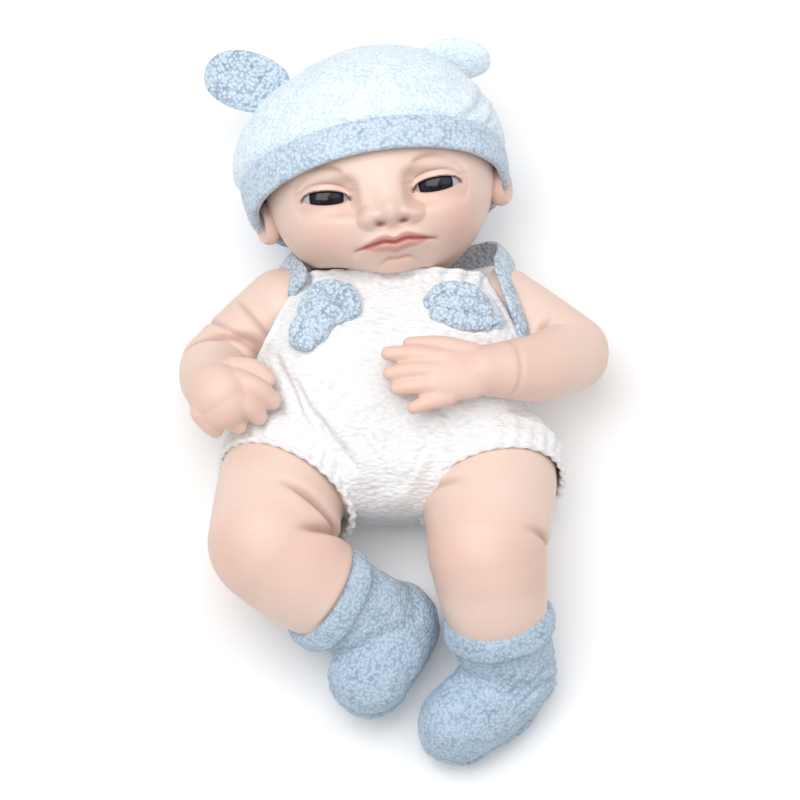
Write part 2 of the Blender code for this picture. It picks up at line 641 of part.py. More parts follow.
def head_point(direction, grow=0.0, shift=0.0):
    """Point of the head in its own axes, for a unit direction in the space where the skull is a unit ball.
    Small round swellings make the cheeks, nose, lips, chin, brows and the hollows round the eyes."""
    base = Vector(d * half for d, half in zip(direction, HEAD_HALF))
    normal = Vector(d / half for d, half in zip(direction, HEAD_HALF)).normalized()
    rise = 0.0
    for spot, height, width in FACE:
        for side in (1, -1) if spot[0] else (1,):
            aim = Vector((spot[0] * side, spot[1], spot[2])).normalized()
            rise += height * math.exp(-((direction - aim).length / width) ** 2)
    return base + normal * (rise + grow)


def head_rings(first, last, rows, sides, grow):
    """Rings of the head's surface at polar angles about the hat's axis, in the doll's millimetres."""
    pole = Vector((0, HAT_AXIS.y * HEAD_HALF.y, HAT_AXIS.z * HEAD_HALF.z)).normalized()
    across = Vector((1, 0, 0))
    over = pole.cross(across)
    rings = []
    for i in range(rows + 1):
        polar = math.radians(first + (last - first) * i / rows)
        tip = math.sin(polar) < 1e-6
        ring = []
        for j in range(1 if tip else sides):
            turn = math.tau * j / sides
            out = math.cos(turn) * across + math.sin(turn) * over
            ring.append(on_head(head_point(math.cos(polar) * pole + math.sin(polar) * out, grow)))
        rings.append(ring)
    return rings


def on_head(point):
    return HEAD + HEAD_TURN @ Vector(point)


def head_seat():
    return NECK_SEAT + NECK_AXIS * NECK_GAP


def head_parts():
    head = solid("head_shell", head_rings(0, 180, HEAD_ROWS, HEAD_SIDES, 0), "head", "vinyl_skin")
    hollow = solid("head_hollow", head_rings(0, 180, 8, 14, -HEAD_WALL), "head")
    take(hollow, beyond("head_floor", head_seat() + NECK_AXIS * SOCKET_WALL, -NECK_AXIS, "head"))
    for side, ear, _ in sides_of(EAR, EAR):
        add(head, ball(f"{side}_ear", on_head(ear), EAR_HALF, "head", turn=HEAD_TURN, rows=6, sides=8))
    take(head, hollow)
    take(head, beyond("head_base", head_seat(), -NECK_AXIS, "head"))
    take(head, rod("head_neck_hole", head_seat(), NECK_AXIS, NECK_JOURNAL + SEAT_GAP, -6, 8, "head"))
    for side, eye, _ in sides_of(EYE, EYE):
        middle = on_head(eye)
        forward = HEAD_TURN @ UP
        pocket = EYE_RADIUS + EYE_GAP
        take(head, ball(f"{side}_eye_pocket", middle, (pocket,) * 3, "head", rows=6, sides=10))
        opening = on_head(eye + UP * EYE_OPENING.z / 2)
        slit = Vector((EYE_OPENING.x, EYE_OPENING.y, EYE_OPENING.z))
        take(head, ball(f"{side}_eye_opening", opening, slit, "head", turn=HEAD_TURN, rows=6, sides=10))
        ball(f"{side}_eye", middle, (EYE_RADIUS,) * 3, "head", "eye_acrylic", rows=8, sides=12)
        inner, outer = pocket, pocket + EYE_CUP_WALL
        inside = [(inner * math.sin(a), -inner * math.cos(a)) for a in (1.35, 0.85, 0.35)]
        outside = [(outer * math.sin(a), -outer * math.cos(a)) for a in (0.35, 0.85, 1.35)]
        turned(f"{side}_eye_cup", inside + outside, middle, forward, "head", "grey_plastic", sides=16)
    neck_plug()


def neck_plug():
    low = -(SOCKET_WALL + RUN_GAP)  # under the torso's top wall
    high = NECK_GAP + SOCKET_WALL + SEAT_GAP  # over the head's floor
    turned("neck_plug", (
        (NECK_BORE, low - FLANGE_THICK), (NECK_FLANGE, low - FLANGE_THICK), (NECK_FLANGE, low),
        (NECK_JOURNAL, low), (NECK_JOURNAL, high), (NECK_FLANGE, high), (NECK_FLANGE, high + FLANGE_THICK),
        (NECK_BORE, high + FLANGE_THICK)), NECK_SEAT, NECK_AXIS, "head", "torso_plastic", sides=20)


# Hat


def hat():
    inner, outer = CLOTH_GAP, CLOTH_GAP + CLOTH
    lining = head_rings(0, HAT_RIM, HAT_ROWS, HAT_SIDES, inner)
    shell = solid("hat", lining + head_rings(HAT_RIM, 0, HAT_ROWS, HAT_SIDES, outer), "head", "blue_terry")
    clear_ears = []
    for side, ear, _ in sides_of(EAR, EAR):
        half = EAR_HALF + Vector((1, 1, 1)) * CLOTH_GAP
        room = ball(f"{side}_ear_room", on_head(ear), half, "head", turn=HEAD_TURN, rows=6, sides=8)
        clear_ears.append(room)
    take(shell, *clear_ears)
    low, high = outer + SEAT_GAP, outer + SEAT_GAP + BRIM
    brim = solid("hat_brim", head_rings(BRIM_TOP, HAT_RIM, 1, HAT_SIDES, low)
                 + head_rings(HAT_RIM, BRIM_TOP, 2, HAT_SIDES, high), "head", "blue_terry", closed=True)
    take(brim, *clear_ears)
    floor = beyond("floor_under_hat", (0, 0, 0.3), -UP, "head")
    take(brim, floor)
    crown = solid("hat_ear_seat", head_rings(0, 120, 10, HAT_SIDES, outer + SEAT_GAP), "head")
    for side, (middle, turn) in HAT_EARS.items():
        roll = math.atan2(middle.x, middle.y)
        pose = HEAD_TURN @ Matrix.Rotation(-roll, 3, "Z") @ Matrix.Rotation(math.radians(turn), 3, "Y")
        ear = ball(f"hat_ear_{side}", on_head(middle), HAT_EAR_HALF, "head", "blue_terry", pose, 8, 16)
        take(ear, crown)


# Limbs


def side_axis(side, axis):
    return Vector(axis) if side == "left" else mirrored(axis)


def jointed_limb(body, halves, ends, axis, inset, plug_radii, sides):
    """A hollow limb in two lofted halves with its hand or foot. It is square at its socket, where a bored
    plug with a flange snaps through the torso's wall."""
    journal, flange, bore = plug_radii
    pivot = PIVOTS[body]
    limb = swept(body, halves[0], 0, body, "vinyl_skin", sides, 1)
    hollow = swept(f"{body}_hollow", halves[0], -LIMB_WALL, body, sides=8, per_span=1)
    face = inset - RUN_GAP
    take(limb, beyond(f"{body}_face", pivot - axis * face, -axis, body))
    take(hollow, beyond(f"{body}_inner_face", pivot - axis * (face - LIMB_WALL), -axis, body))
    back, front = -inset - SOCKET_WALL - RUN_GAP, -face + LIMB_WALL / 2
    plug = turned(f"{body}_plug", (
        (0, back - FLANGE_THICK), (flange, back - FLANGE_THICK), (flange, back), (journal, back),
        (journal, front), (0, front)), pivot, axis, body, sides=12)
    lower = swept(f"{body}_lower", halves[1], 0, body, sides=sides, per_span=1)
    add(limb, plug, lower, *ends)
    add(hollow, swept(f"{body}_lower_hollow", halves[1][:3], -LIMB_WALL, body, sides=8, per_span=1))
    way = rod(f"{body}_bore", pivot, axis, bore, back - FLANGE_THICK - 2, -inset + 6, body, sides=8)
    return take(limb, hollow, way)


def finger(name, points, radius, body, grow=0.0):
    stations = [(point, radius * share) for point, share in zip(points, (1.0, 1.0, 0.86))]
    return swept(name, stations, grow, body, sides=FINGER_SIDES, per_span=1)


def left_hand():
    """A flat palm with four fingers laid side by side and the thumb beside them."""
    body = "left_arm"
    parts = [swept("left_palm", LEFT_PALM, 0, body, sides=10, per_span=1, flat=0.66,
                   flat_axis=(0.25, 0.1, 0.96))]
    for i, reach in enumerate(LEFT_REACHES):
        y = -2.2 - LEFT_PITCH * i
        base = Vector((20, y * 0.75 - 3, 83.4))
        middle = base + Vector((-0.5 * reach, y * 0.18 + 1.5, 1.6))
        tip = base + Vector((-reach, y * 0.32 + 2.6, 1.0))
        parts.append(finger(f"left_finger_{i + 1}", (base, middle, tip), LEFT_FINGER, body))
    parts.append(finger("left_thumb", LEFT_THUMB, LEFT_FINGER + 0.4, body))
    return parts


def right_hand():
    """A loosely closed hand, with its fingers curling over toward the belly."""
    body = "right_arm"
    parts = [swept("right_palm", RIGHT_PALM, 0, body, sides=10, per_span=1, flat=0.8,
                   flat_axis=(-0.5, -0.1, 0.86))]
    for i in range(FINGERS):
        base = Vector((-62, -7.5 - RIGHT_PITCH * i, 81 - 0.5 * abs(i - 1)))
        middle = base + Vector((9, -1, -2))
        tip = base + Vector((13, -1.4, -10.5))
        parts.append(finger(f"right_finger_{i + 1}", (base, middle, tip), RIGHT_FINGER, body))
    parts.append(finger("right_thumb", RIGHT_THUMB, RIGHT_FINGER + 0.2, body))
    return parts


def arms():
    radii = (SHOULDER_JOURNAL, SHOULDER_FLANGE, SHOULDER_BORE)
    for side, halves, hand in (("left", LEFT_ARM, left_hand()), ("right", RIGHT_ARM, right_hand())):
        axis = side_axis(side, SHOULDER_AXIS)
        jointed_limb(f"{side}_arm", halves, hand, axis, SHOULDER_IN, radii, ARM_SIDES)


def legs():
    radii = (HIP_JOURNAL, HIP_FLANGE, HIP_BORE)
    for side, halves, foot in (("left", LEFT_LEG, LEFT_FOOT), ("right", RIGHT_LEG, RIGHT_FOOT)):
        body = f"{side}_leg"
        axis = side_axis(side, HIP_AXIS)
        toes = swept(f"{side}_foot", foot, 0, body, sides=10, per_span=1, flat=FOOT_FLAT)
        jointed_limb(body, halves, [toes], axis, HIP_IN, radii, LEG_SIDES)
        bloomer_leg(side, halves[0], body, axis)
        bootie(side, halves[1], foot, body)


# Romper


def bloomer_leg(side, thigh, body, axis):
    """The romper's leg, which turns with the thigh, and the elastic band at its edge."""
    pivot = PIVOTS[body]
    along = (Vector(thigh[1][0]) - Vector(thigh[0][0])).normalized()
    inner, outer = CLOTH_GAP, CLOTH_GAP + CLOTH
    inside = swept(f"{side}_bloomer_inside", thigh, inner, body, sides=LEG_SIDES, per_span=2)
    face = beyond(f"{side}_bloomer_face", pivot - axis * (HIP_IN - RUN_GAP), -axis, body)
    edge = pivot + along * SLEEVE_REACH
    sleeve = swept(f"romper_leg_{side}", thigh, outer, body, "white_terry", LEG_SIDES, 2)
    take(sleeve, inside, face, beyond(f"{side}_bloomer_edge", edge, along, body))
    band_low, band_high = edge + along * SEAT_GAP, edge + along * (SEAT_GAP + LEG_BAND)
    band = swept(f"romper_leg_band_{side}", thigh, outer + 0.8, body, "white_terry", LEG_SIDES, 2)
    take(band, inside, face, beyond(f"{side}_band_low", band_low, -along, body),
         beyond(f"{side}_band_high", band_high, along, body))


def romper():
    inner, outer = CLOTH_GAP, CLOTH_GAP + CLOTH
    inside = torso_solid("romper_inside", inner)
    main = torso_solid("romper", outer, "white_terry")
    take(main, inside, *socket_cutters("romper", RUN_GAP, ARMHOLE_HEM))
    top = NECK_SEAT - NECK_AXIS * ROMPER_TOP
    take(main, beyond("romper_top", top, NECK_AXIS))
    under = beyond("floor_under_romper", (0, 0, 0), -UP)
    take(main, under)
    for side, middle, _ in sides_of((STRAP_MIDDLE, 0, 0), UP):
        strap = torso_solid(f"romper_strap_{side}", outer, "blue_terry")
        width = block(f"{side}_strap_width", middle + Vector((0, 45, 30)), (STRAP_WIDTH, 30, 120))
        combine(strap, "INTERSECT", width)
        take(strap, inside, beyond(f"{side}_strap_foot", top + NECK_AXIS * SEAT_GAP, -NECK_AXIS))
        take(strap, *socket_cutters(f"{side}_strap", RUN_GAP, ARMHOLE_HEM)[2:])
    knots(outer)


def knots(outer):
    seat = torso_solid("knot_seat", outer + SEAT_GAP)
    for side, path in (("left", LEFT_KNOT), ("right", RIGHT_KNOT)):
        knot = swept(f"romper_knot_{side}", path, 0, "torso", "blue_terry", 12, 3, flat=KNOT_FLAT)
        take(knot, seat)


# Booties


def bootie(side, shin, foot, body):
    """A terry sock with a rolled cuff round the shin."""
    inner, outer = CLOTH_GAP, CLOTH_GAP + CLOTH
    knee, ankle = Vector(shin[0][0]), Vector(shin[-1][0])
    along = (ankle - knee).normalized()
    rim = knee + (ankle - knee) * CUFF_AT

    def wrap(name, grow, skin=None):
        shape = swept(name, shin, grow, body, skin, LEG_SIDES, 1)
        return add(shape, swept(f"{name}_foot", foot, grow, body, sides=10, per_span=1, flat=FOOT_FLAT))

    shell = wrap(f"{side}_bootie", outer, "blue_terry")
    take(shell, wrap(f"{side}_bootie_inside", inner), beyond(f"{side}_bootie_rim", rim, -along, body))
    roll = outer + SEAT_GAP
    cuff = swept(f"{side}_bootie_cuff", shin, roll + CUFF_THICK, body, "blue_terry", LEG_SIDES, 1)
    combine(cuff, "INTERSECT", rod(f"{side}_cuff_band", rim, along, 60, 0, CUFF_WIDE, body))
    take(cuff, wrap(f"{side}_cuff_room", roll))


def build():
    clear_scene()
    front, back = torso_shells()
    sound_module(front, back)
    front.finish()
    back.finish()
    head_parts()
    hat()
    arms()
    legs()
    romper()


build()
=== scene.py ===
import json
import math
from functools import partial

import bmesh
import bpy
import numpy as np
from mathutils import Matrix, Vector
from numpy.linalg import norm

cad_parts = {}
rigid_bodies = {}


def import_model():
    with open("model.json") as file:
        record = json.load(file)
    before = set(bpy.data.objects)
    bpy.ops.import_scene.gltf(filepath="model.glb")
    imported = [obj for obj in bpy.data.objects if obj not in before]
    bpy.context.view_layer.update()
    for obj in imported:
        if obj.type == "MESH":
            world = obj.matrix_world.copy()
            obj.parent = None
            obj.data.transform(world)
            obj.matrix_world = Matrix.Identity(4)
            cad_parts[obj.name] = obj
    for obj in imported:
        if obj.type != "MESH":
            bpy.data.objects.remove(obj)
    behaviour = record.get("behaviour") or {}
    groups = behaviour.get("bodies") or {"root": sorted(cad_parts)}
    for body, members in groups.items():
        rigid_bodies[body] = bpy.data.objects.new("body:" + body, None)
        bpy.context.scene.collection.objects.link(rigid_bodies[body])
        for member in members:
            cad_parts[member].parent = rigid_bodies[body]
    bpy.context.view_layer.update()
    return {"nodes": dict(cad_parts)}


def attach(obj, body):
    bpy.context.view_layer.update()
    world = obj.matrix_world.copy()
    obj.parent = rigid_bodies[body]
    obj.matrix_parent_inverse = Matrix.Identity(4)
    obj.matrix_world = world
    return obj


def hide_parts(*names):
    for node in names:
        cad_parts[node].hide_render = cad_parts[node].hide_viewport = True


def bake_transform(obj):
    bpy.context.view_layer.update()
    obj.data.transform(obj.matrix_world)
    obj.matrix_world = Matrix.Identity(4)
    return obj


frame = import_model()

mm = 0.001
dollShift = np.array([-0.073, 8.115, 0.0])  # shapes are worked out from the doll's own middle, then moved
floorGap = 0.3  # cloth keeps this far over the floor
weldDistance = 2e-6  # metres, where a grid's columns meet at a pole


# arrays and shapes

def unit(v):
    v = np.asarray(v, float)
    return v / np.maximum(norm(v, axis=-1, keepdims=True), 1e-9)


def fade(low, high, x):
    t = np.clip((x - low) / (high - low), 0, 1)
    return t * t * (3 - 2 * t)


def bell(x, width, power=1.0):
    return np.exp(-(np.abs(x) / width) ** (2 * power))


def signedPower(x, power):
    return np.sign(x) * np.abs(x) ** power


def rotation(degrees, axis):
    return Matrix.Rotation(math.radians(degrees), 3, axis)


def fullTurn(count):
    return np.linspace(0, math.tau, count, endpoint=False)[None, :]


def ballGrid(polar, cols):
    # directions of a unit ball, on rings about +Z at the polar angles in a column
    turn, out = fullTurn(cols), np.sin(polar)
    return np.stack([out * np.cos(turn), out * np.sin(turn), np.cos(polar) + 0 * turn], -1)


def overFloor(grid):
    grid[..., 2] = np.maximum(grid[..., 2], floorGap)
    return grid


def softNoise(points, cell, seed):
    # random values at the corners of cubes of side cell, blended smoothly inside each cube, about -1 to 1
    table = np.random.default_rng(seed).uniform(-1, 1, (32, 32, 32))
    p = points / cell
    low = np.floor(p).astype(int)
    t = p - low
    t = t * t * (3 - 2 * t)
    total = np.zeros(p.shape[:-1])
    for corner in range(8):
        step = np.array([corner & 1, corner >> 1 & 1, corner >> 2])
        at = (low + step) % 32
        share = np.prod(np.where(step, t, 1 - t), axis=-1)
        total += share * table[at[..., 0], at[..., 1], at[..., 2]]
    return total


def splinePath(stations, steps):
    # Catmull-Rom curve through stations of (x, y, z, radius), with steps points in each span
    s = np.array(stations, float)
    s = np.vstack([2 * s[0] - s[1], s, 2 * s[-1] - s[-2]])
    t = (np.arange(steps) / steps)[None, :, None]
    a, b, c, d = (s[k:len(s) - 3 + k][:, None, :] for k in range(4))
    spots = (2 * b + (c - a) * t + (2 * a - 5 * b + 4 * c - d) * t**2 + (3 * b - a - 3 * c + d) * t**3) / 2
    return np.vstack([spots.reshape(-1, s.shape[1]), s[-2]])


def tubeGrid(stations, cols=40, steps=10, guide=(0, 0, 1), flat=1.0, flatAxis=(0, 0, 1)):
    # circles square to the path, one row for each point of it, closed by two half balls
    path = splinePath(stations, steps)
    angles = np.linspace(0, math.pi / 2, 8)[1:]
    ends = []
    for spot, other in ((path[0], path[1]), (path[-1], path[-2])):
        out = unit(spot[:3] - other[:3])
        middles = spot[:3] + out * (spot[3] * np.sin(angles))[:, None]
        ends.append(np.column_stack([middles, spot[3] * np.cos(angles)]))
    path = np.vstack([ends[0][::-1], path, ends[1]])
    centre, radius = path[:, :3], path[:, 3]
    along = unit(np.gradient(centre, axis=0))
    across = unit(np.cross(along, np.array(guide, float)))
    over = np.cross(along, across)
    turn = fullTurn(cols)[..., None]
    offset = np.cos(turn) * across[:, None] + np.sin(turn) * over[:, None]
    offset = offset * radius[:, None, None]
    flatAxis = unit(flatAxis)
    offset = offset - flatAxis * ((offset @ flatAxis) * (1 - flat))[..., None]
    return centre[:, None] + offset


# meshes

def linkObject(thing):
    bpy.context.scene.collection.objects.link(thing)


def makePiece(name, grids, material=None, around=True):
    # grids of points in doll millimetres, whose columns close into rings where around is true
    points, quads, maps, start = [], [], [], 0
    for grid in grids:
        rows, cols = grid.shape[:2]
        r = np.arange(rows - 1)[:, None]
        c = np.arange(cols if around else cols - 1)[None, :]
        n = (c + 1) % cols
        corners = [r * cols + c, r * cols + n, (r + 1) * cols + n, (r + 1) * cols + c]
        quads.append(np.stack(corners, -1).reshape(-1, 4) + start)
        wide = norm(np.diff(grid, axis=1), axis=-1).mean() * np.arange(cols + 1)
        tall = np.append(0, np.cumsum(norm(np.diff(grid, axis=0), axis=-1).mean(1)))
        u = np.stack([wide[c], wide[c + 1], wide[c + 1], wide[c]], -1) + 0 * r[..., None]
        v = np.stack([tall[r], tall[r], tall[r + 1], tall[r + 1]], -1) + 0 * c[..., None]
        maps.append(np.stack([u, v], -1).reshape(-1, 2))
        points.append(grid.reshape(-1, 3))
        start += rows * cols
    points, quads, maps = np.vstack(points), np.vstack(quads), np.vstack(maps)
    mesh = bpy.data.meshes.new(name)
    mesh.vertices.add(len(points))
    mesh.vertices.foreach_set("co", ((points + dollShift) * mm).astype(np.float32).ravel())
    mesh.loops.add(quads.size)
    mesh.loops.foreach_set("vertex_index", quads.astype(np.int32).ravel())
    mesh.polygons.add(len(quads))
    mesh.polygons.foreach_set("loop_start", np.arange(0, quads.size, 4, dtype=np.int32))
    mesh.update(calc_edges=True)
    mesh.uv_layers.new(name="clothMap").data.foreach_set("uv", maps.astype(np.float32).ravel())
    bm = bmesh.new()
    bm.from_mesh(mesh)
    bmesh.ops.remove_doubles(bm, verts=bm.verts, dist=weldDistance)
    bmesh.ops.recalc_face_normals(bm, faces=bm.faces)
    bm.to_mesh(mesh)
    bm.free()
    mesh.shade_smooth()
    piece = bpy.data.objects.new(name, mesh)
    linkObject(piece)
    if material:
        mesh.materials.append(material)
    return piece


def setMaterial(piece, material):
    piece.data.materials.clear()
    piece.data.materials.append(material)


def readVectors(piece, name):
    values = np.empty(len(piece.data.vertices) * 3, np.float32)
    piece.data.vertices.foreach_get(name, values)
    return values.reshape(-1, 3).astype(float)


def readPoints(piece):
    return readVectors(piece, "co") / mm - dollShift


def writePoints(piece, points):
    piece.data.vertices.foreach_set("co", ((points + dollShift) * mm).astype(np.float32).ravel())
    piece.data.update()


def writeMask(piece, name, values):
    mask = piece.data.attributes.get(name) or piece.data.attributes.new(name, "FLOAT", "POINT")
    mask.data.foreach_set("value", values.astype(np.float32))


def applyModifiers(piece):
    graph = bpy.context.evaluated_depsgraph_get()
    mesh = bpy.data.meshes.new_from_object(piece.evaluated_get(graph))
    piece.modifiers.clear()
    piece.data = mesh
    return piece


def fuse(piece, voxel, softness):
    # one even skin over joined tubes, softened where they meet
    remesh = piece.modifiers.new("fuse", "REMESH")
    remesh.mode = "VOXEL"
    remesh.voxel_size = voxel * mm
    remesh.use_smooth_shade = True
    soften = piece.modifiers.new("soften", "SMOOTH")
    soften.factor = 0.5
    soften.iterations = softness
    applyModifiers(piece)
    piece.data.shade_smooth()
    return piece


def creaseDepth(points, fold):
    # a groove where a plane crosses the limb, on the side that faces one way, with soft rolls beside it:
    # 0.35 of two wide bells 2.6 widths off the plane, less one narrow bell on it, faded out towards the reach
    at, axis, facing, depth, width, reach, spread = fold
    gap = points - at
    along = gap @ unit(axis)
    radial = gap - along[:, None] * unit(axis)
    near = fade(reach, reach * 0.7, norm(gap, axis=1))
    window = fade(spread, spread + 0.5, unit(radial) @ unit(facing)) * near
    groove = bell(along, width) * window
    rolls = bell(along - 2.6 * width, 2.2 * width) + bell(along + 2.6 * width, 2.2 * width)
    # the second value is a mask of painted shade along the groove, stronger for deeper grooves up to 0.7
    return depth * (0.35 * rolls * window - groove), groove * min(0.7, depth / 3.2)


def addCreases(piece, folds):
    points, normals = readPoints(piece), readVectors(piece, "normal")
    total, mask = np.zeros(len(points)), np.zeros(len(points))
    for fold in folds:
        rise, shade = creaseDepth(points, fold)
        total += rise
        mask = np.maximum(mask, shade)
    writePoints(piece, points + normals * total[:, None])
    # the fold mask is painted shade in the creases
    writeMask(piece, "fold", mask)


# materials

def toLinear(hexColour):
    parts = [int(hexColour[k:k + 2], 16) / 255 for k in (1, 3, 5)]
    return tuple(p / 12.92 if p <= 0.04045 else ((p + 0.055) / 1.055) ** 2.4 for p in parts) + (1.0,)


def feed(socket, value):
    # a node stands for its first output, and what is neither a node nor a socket is a fixed value
    if isinstance(value, bpy.types.Node):
        value = value.outputs[0]
    if isinstance(value, bpy.types.NodeSocket):
        socket.id_data.links.new(value, socket)
    else:
        socket.default_value = value


def addNode(tree, kind, inputs=None, **settings):
    node = tree.nodes.new("ShaderNode" + kind)
    for name, value in settings.items():
        setattr(node, name, value)
    for name, value in (inputs or {}).items():
        feed(node.inputs[name], value)
    return node


def newMaterial(name, **constants):
    material = bpy.data.materials.new(name)
    material.use_nodes = True
    tree = material.node_tree
    shader = tree.nodes["Principled BSDF"]
    for key, value in constants.items():
        shader.inputs[key.replace("_", " ")].default_value = value
    coords = addNode(tree, "TexCoord").outputs["Object"]
    return material, partial(addNode, tree), shader, coords


def blendColour(add, share, first, second):
    mix = add("Mix", {"Factor": share}, data_type="RGBA")
    for socket, value in ((mix.inputs[6], first), (mix.inputs[7], second)):
        feed(socket, toLinear(value) if isinstance(value, str) else value)
    return mix.outputs[2]


# fold is the colour of painted shade in creases, nostrils and the mouth line; the eyelash colour paints a
# line that is also the lids' painted shadow
skinLook = {
    "light": "#eed7ca", "dark": "#e4c5b5", "fold": "#a0705f", "blush": "#e0a391",
    "lips": "#bf6f6a", "brow": "#a9785f", "lash": "#4a342c",
}


def rotocastVinyl(name, painted):
    # soft vinyl, rotation moulded and matt sprayed: an even skin with faint pink clouds and a low sheen
    material, add, shader, coords = newMaterial(
        name, Roughness=0.5, IOR=1.5, Subsurface_Weight=0.18,
        Subsurface_Radius=(1.0, 0.45, 0.3), Subsurface_Scale=0.003)
    clouds = add("TexNoise", {"Vector": coords, "Scale": 38.0, "Detail": 2.0})  # about 26 mm
    colour = blendColour(add, clouds, skinLook["light"], skinLook["dark"])
    # the fold mask is painted shade in creases, nostrils and the mouth line, and the eyelash mask paints a
    # dark line on the lids' edges that is also their painted shadow; blush, brows and lips are paint
    masks = ["blush", "fold", "brow", "lash", "lips"] if painted else ["blush", "fold"]
    for mask in masks:
        paint = add("Attribute", attribute_name=mask)
        colour = blendColour(add, paint.outputs["Fac"], colour, skinLook[mask])
    feed(shader.inputs["Base Color"], colour)
    if painted:  # lip paint is glossy
        lips = add("Attribute", attribute_name="lips")
        gloss = add("MapRange", {"Value": lips.outputs["Fac"], "To Min": 0.5, "To Max": 0.24})
        feed(shader.inputs["Roughness"], gloss)
    grain = add("TexNoise", {"Vector": coords, "Scale": 1400.0, "Detail": 2.0})  # 0.7 mm grit
    bump = add("Bump", {"Height": grain, "Strength": 0.12, "Distance": 0.0001})
    feed(shader.inputs["Normal"], bump)
    return material


def terryCloth(name, light, middle, dark, loop, tuft, pitShadeShare, relief):
    # looped pile: each loop is a small round bump, with painted shade in the hollows between them and soft
    # tufts a few loops wide
    material, add, shader, coords = newMaterial(name, Roughness=0.95, Sheen_Weight=0.25, Sheen_Roughness=0.5)
    warp = add("TexNoise", {"Vector": coords, "Scale": 260.0, "Detail": 2.0})
    shift = add("VectorMath", {0: warp.outputs["Color"], "Scale": 0.0012}, operation="SCALE")
    bent = add("VectorMath", {0: coords, 1: shift}, operation="ADD")
    loops = add("TexVoronoi", {"Vector": bent, "Scale": 1000.0 / loop})
    tufts = add("TexNoise", {"Vector": coords, "Scale": 1000.0 / tuft, "Detail": 3.0})
    pitShade = add("MapRange", {"Value": loops, "From Min": 0.34, "From Max": 0.72})
    mixed = add("Math", {0: pitShade, 1: tufts}, operation="MULTIPLY")
    # painted shade in the hollows between loops, strongest where the tuft noise is high, in the dark colour
    gain = add("Math", {0: mixed, 1: pitShadeShare}, operation="MULTIPLY", use_clamp=True)
    base = blendColour(add, tufts, light, middle)
    feed(shader.inputs["Base Color"], blendColour(add, gain, base, dark))
    height = add("Math", {0: loops, 1: -1.0}, operation="MULTIPLY")
    total = add("Math", {0: height, 1: tufts}, operation="ADD")
    bump = add("Bump", {"Height": total, "Strength": relief, "Distance": 0.0012})
    feed(shader.inputs["Normal"], bump)
    return material


def seersucker(name, look):
    # puckered cotton: short raised blisters in rows, white, with painted shade in cool grey in the hollows
    material, add, shader, coords = newMaterial(name, Roughness=0.9, Sheen_Weight=0.15)
    place = add("Mapping", {"Vector": coords, "Scale": (1.0, 2.1, 1.0)})
    perMetre = 1000.0 / look["blister"]
    blisters = add("TexVoronoi", {"Vector": place, "Scale": perMetre}, feature="SMOOTH_F1")
    threads = add("TexNoise", {"Vector": place, "Scale": 1600.0, "Detail": 3.0})
    # painted shade in the hollows between blisters, broken up by large clouds
    shade = add("MapRange", {"Value": blisters, "From Min": 0.3, "From Max": 0.9})
    clouds = add("TexNoise", {"Vector": coords, "Scale": 70.0, "Detail": 3.0})
    both = add("Math", {0: shade, 1: clouds}, operation="MULTIPLY")
    feed(shader.inputs["Base Color"], blendColour(add, both, look["light"], look["dark"]))
    height = add("Math", {0: blisters, 1: -1.6}, operation="MULTIPLY")
    total = add("Math", {0: height, 1: threads}, operation="ADD")
    bump = add("Bump", {"Height": total, "Strength": look["relief"], "Distance": 0.0012})
    feed(shader.inputs["Normal"], bump)
    return material


def paintedEye(name):
    # clear acrylic over a printed iris: dark blue-black with paler spokes, a black pupil and a wet gloss
    gloss = {"Roughness": 0.2, "IOR": 1.3, "Coat_Weight": 0.25, "Coat_Roughness": 0.03}
    material, add, shader = newMaterial(name, **gloss)[:3]
    ring = add("Attribute", attribute_name="iris").outputs["Fac"]  # mm from the pupil's middle
    spoke = add("Attribute", attribute_name="spoke").outputs["Fac"]
    lines = add("TexNoise", {"W": spoke, "Scale": 9.0, "Detail": 3.0}, noise_dimensions="1D")
    iris = blendColour(add, lines, "#06070d", "#1d2438")
    rings = ((3.0, 3.4, "#030305", None), (5.6, 6.8, None, "#0b0d15"), (7.0, 7.5, None, "#b9b4b6"))
    for low, high, inner, outer in rings:  # pupil, the iris's dark edge, and the white of the eye
        step = add("MapRange", {"Value": ring, "From Min": low, "From Max": high})
        iris = blendColour(add, step, inner or iris, outer or iris)
    feed(shader.inputs["Base Color"], iris)
    return material


def mouldedPlastic(name, colour, rough, metal=0.0):
    # injection moulded or plated part: fine spark texture and slight cloudiness
    material, add, shader, coords = newMaterial(name, Roughness=rough, Metallic=metal)
    clouds = add("TexNoise", {"Vector": coords, "Scale": 120.0, "Detail": 3.0})
    lighter = "#" + "".join(f"{min(255, int(colour[k:k + 2], 16) + 14):02x}" for k in (1, 3, 5))
    feed(shader.inputs["Base Color"], blendColour(add, clouds, colour, lighter))
    grit = add("TexNoise", {"Vector": coords, "Scale": 2200.0})
    bump = add("Bump", {"Height": grit, "Strength": 0.1, "Distance": 0.0001})
    feed(shader.inputs["Normal"], bump)
    return material


# in each row the third colour is painted shade for the hollows between loops, and the sixth number its
# strength
terryLooks = {  # light, middle and dark colours, loop and tuft size in mm, strength of pits and relief
    # crown and band are one cloth: the crown's copy is painted lighter for the light on the hat's top
    "hatTopLitTerryCloth": ("#f4fbff", "#e2f1fc", "#9cb9d4", 1.5, 5.0, 0.6, 0.4),
    # the band's copy is painted darker, as painted shade
    "hatBandShadedTerryCloth": ("#dbe9f6", "#c5d7e8", "#8299b2", 1.5, 5.0, 0.95, 0.5),
    "tieTerryCloth": ("#deedf9", "#c6d9ea", "#5b7591", 1.5, 4.5, 1.0, 0.6),
    "bootieTerryKnit": ("#c6d9ea", "#afc4d7", "#6f879f", 1.4, 6.0, 0.9, 0.5),
}
# dark is the colour of the painted shade in the hollows
whiteLook = {"light": "#ffffff", "dark": "#d9d9e3", "blister": 2.6, "relief": 0.6}

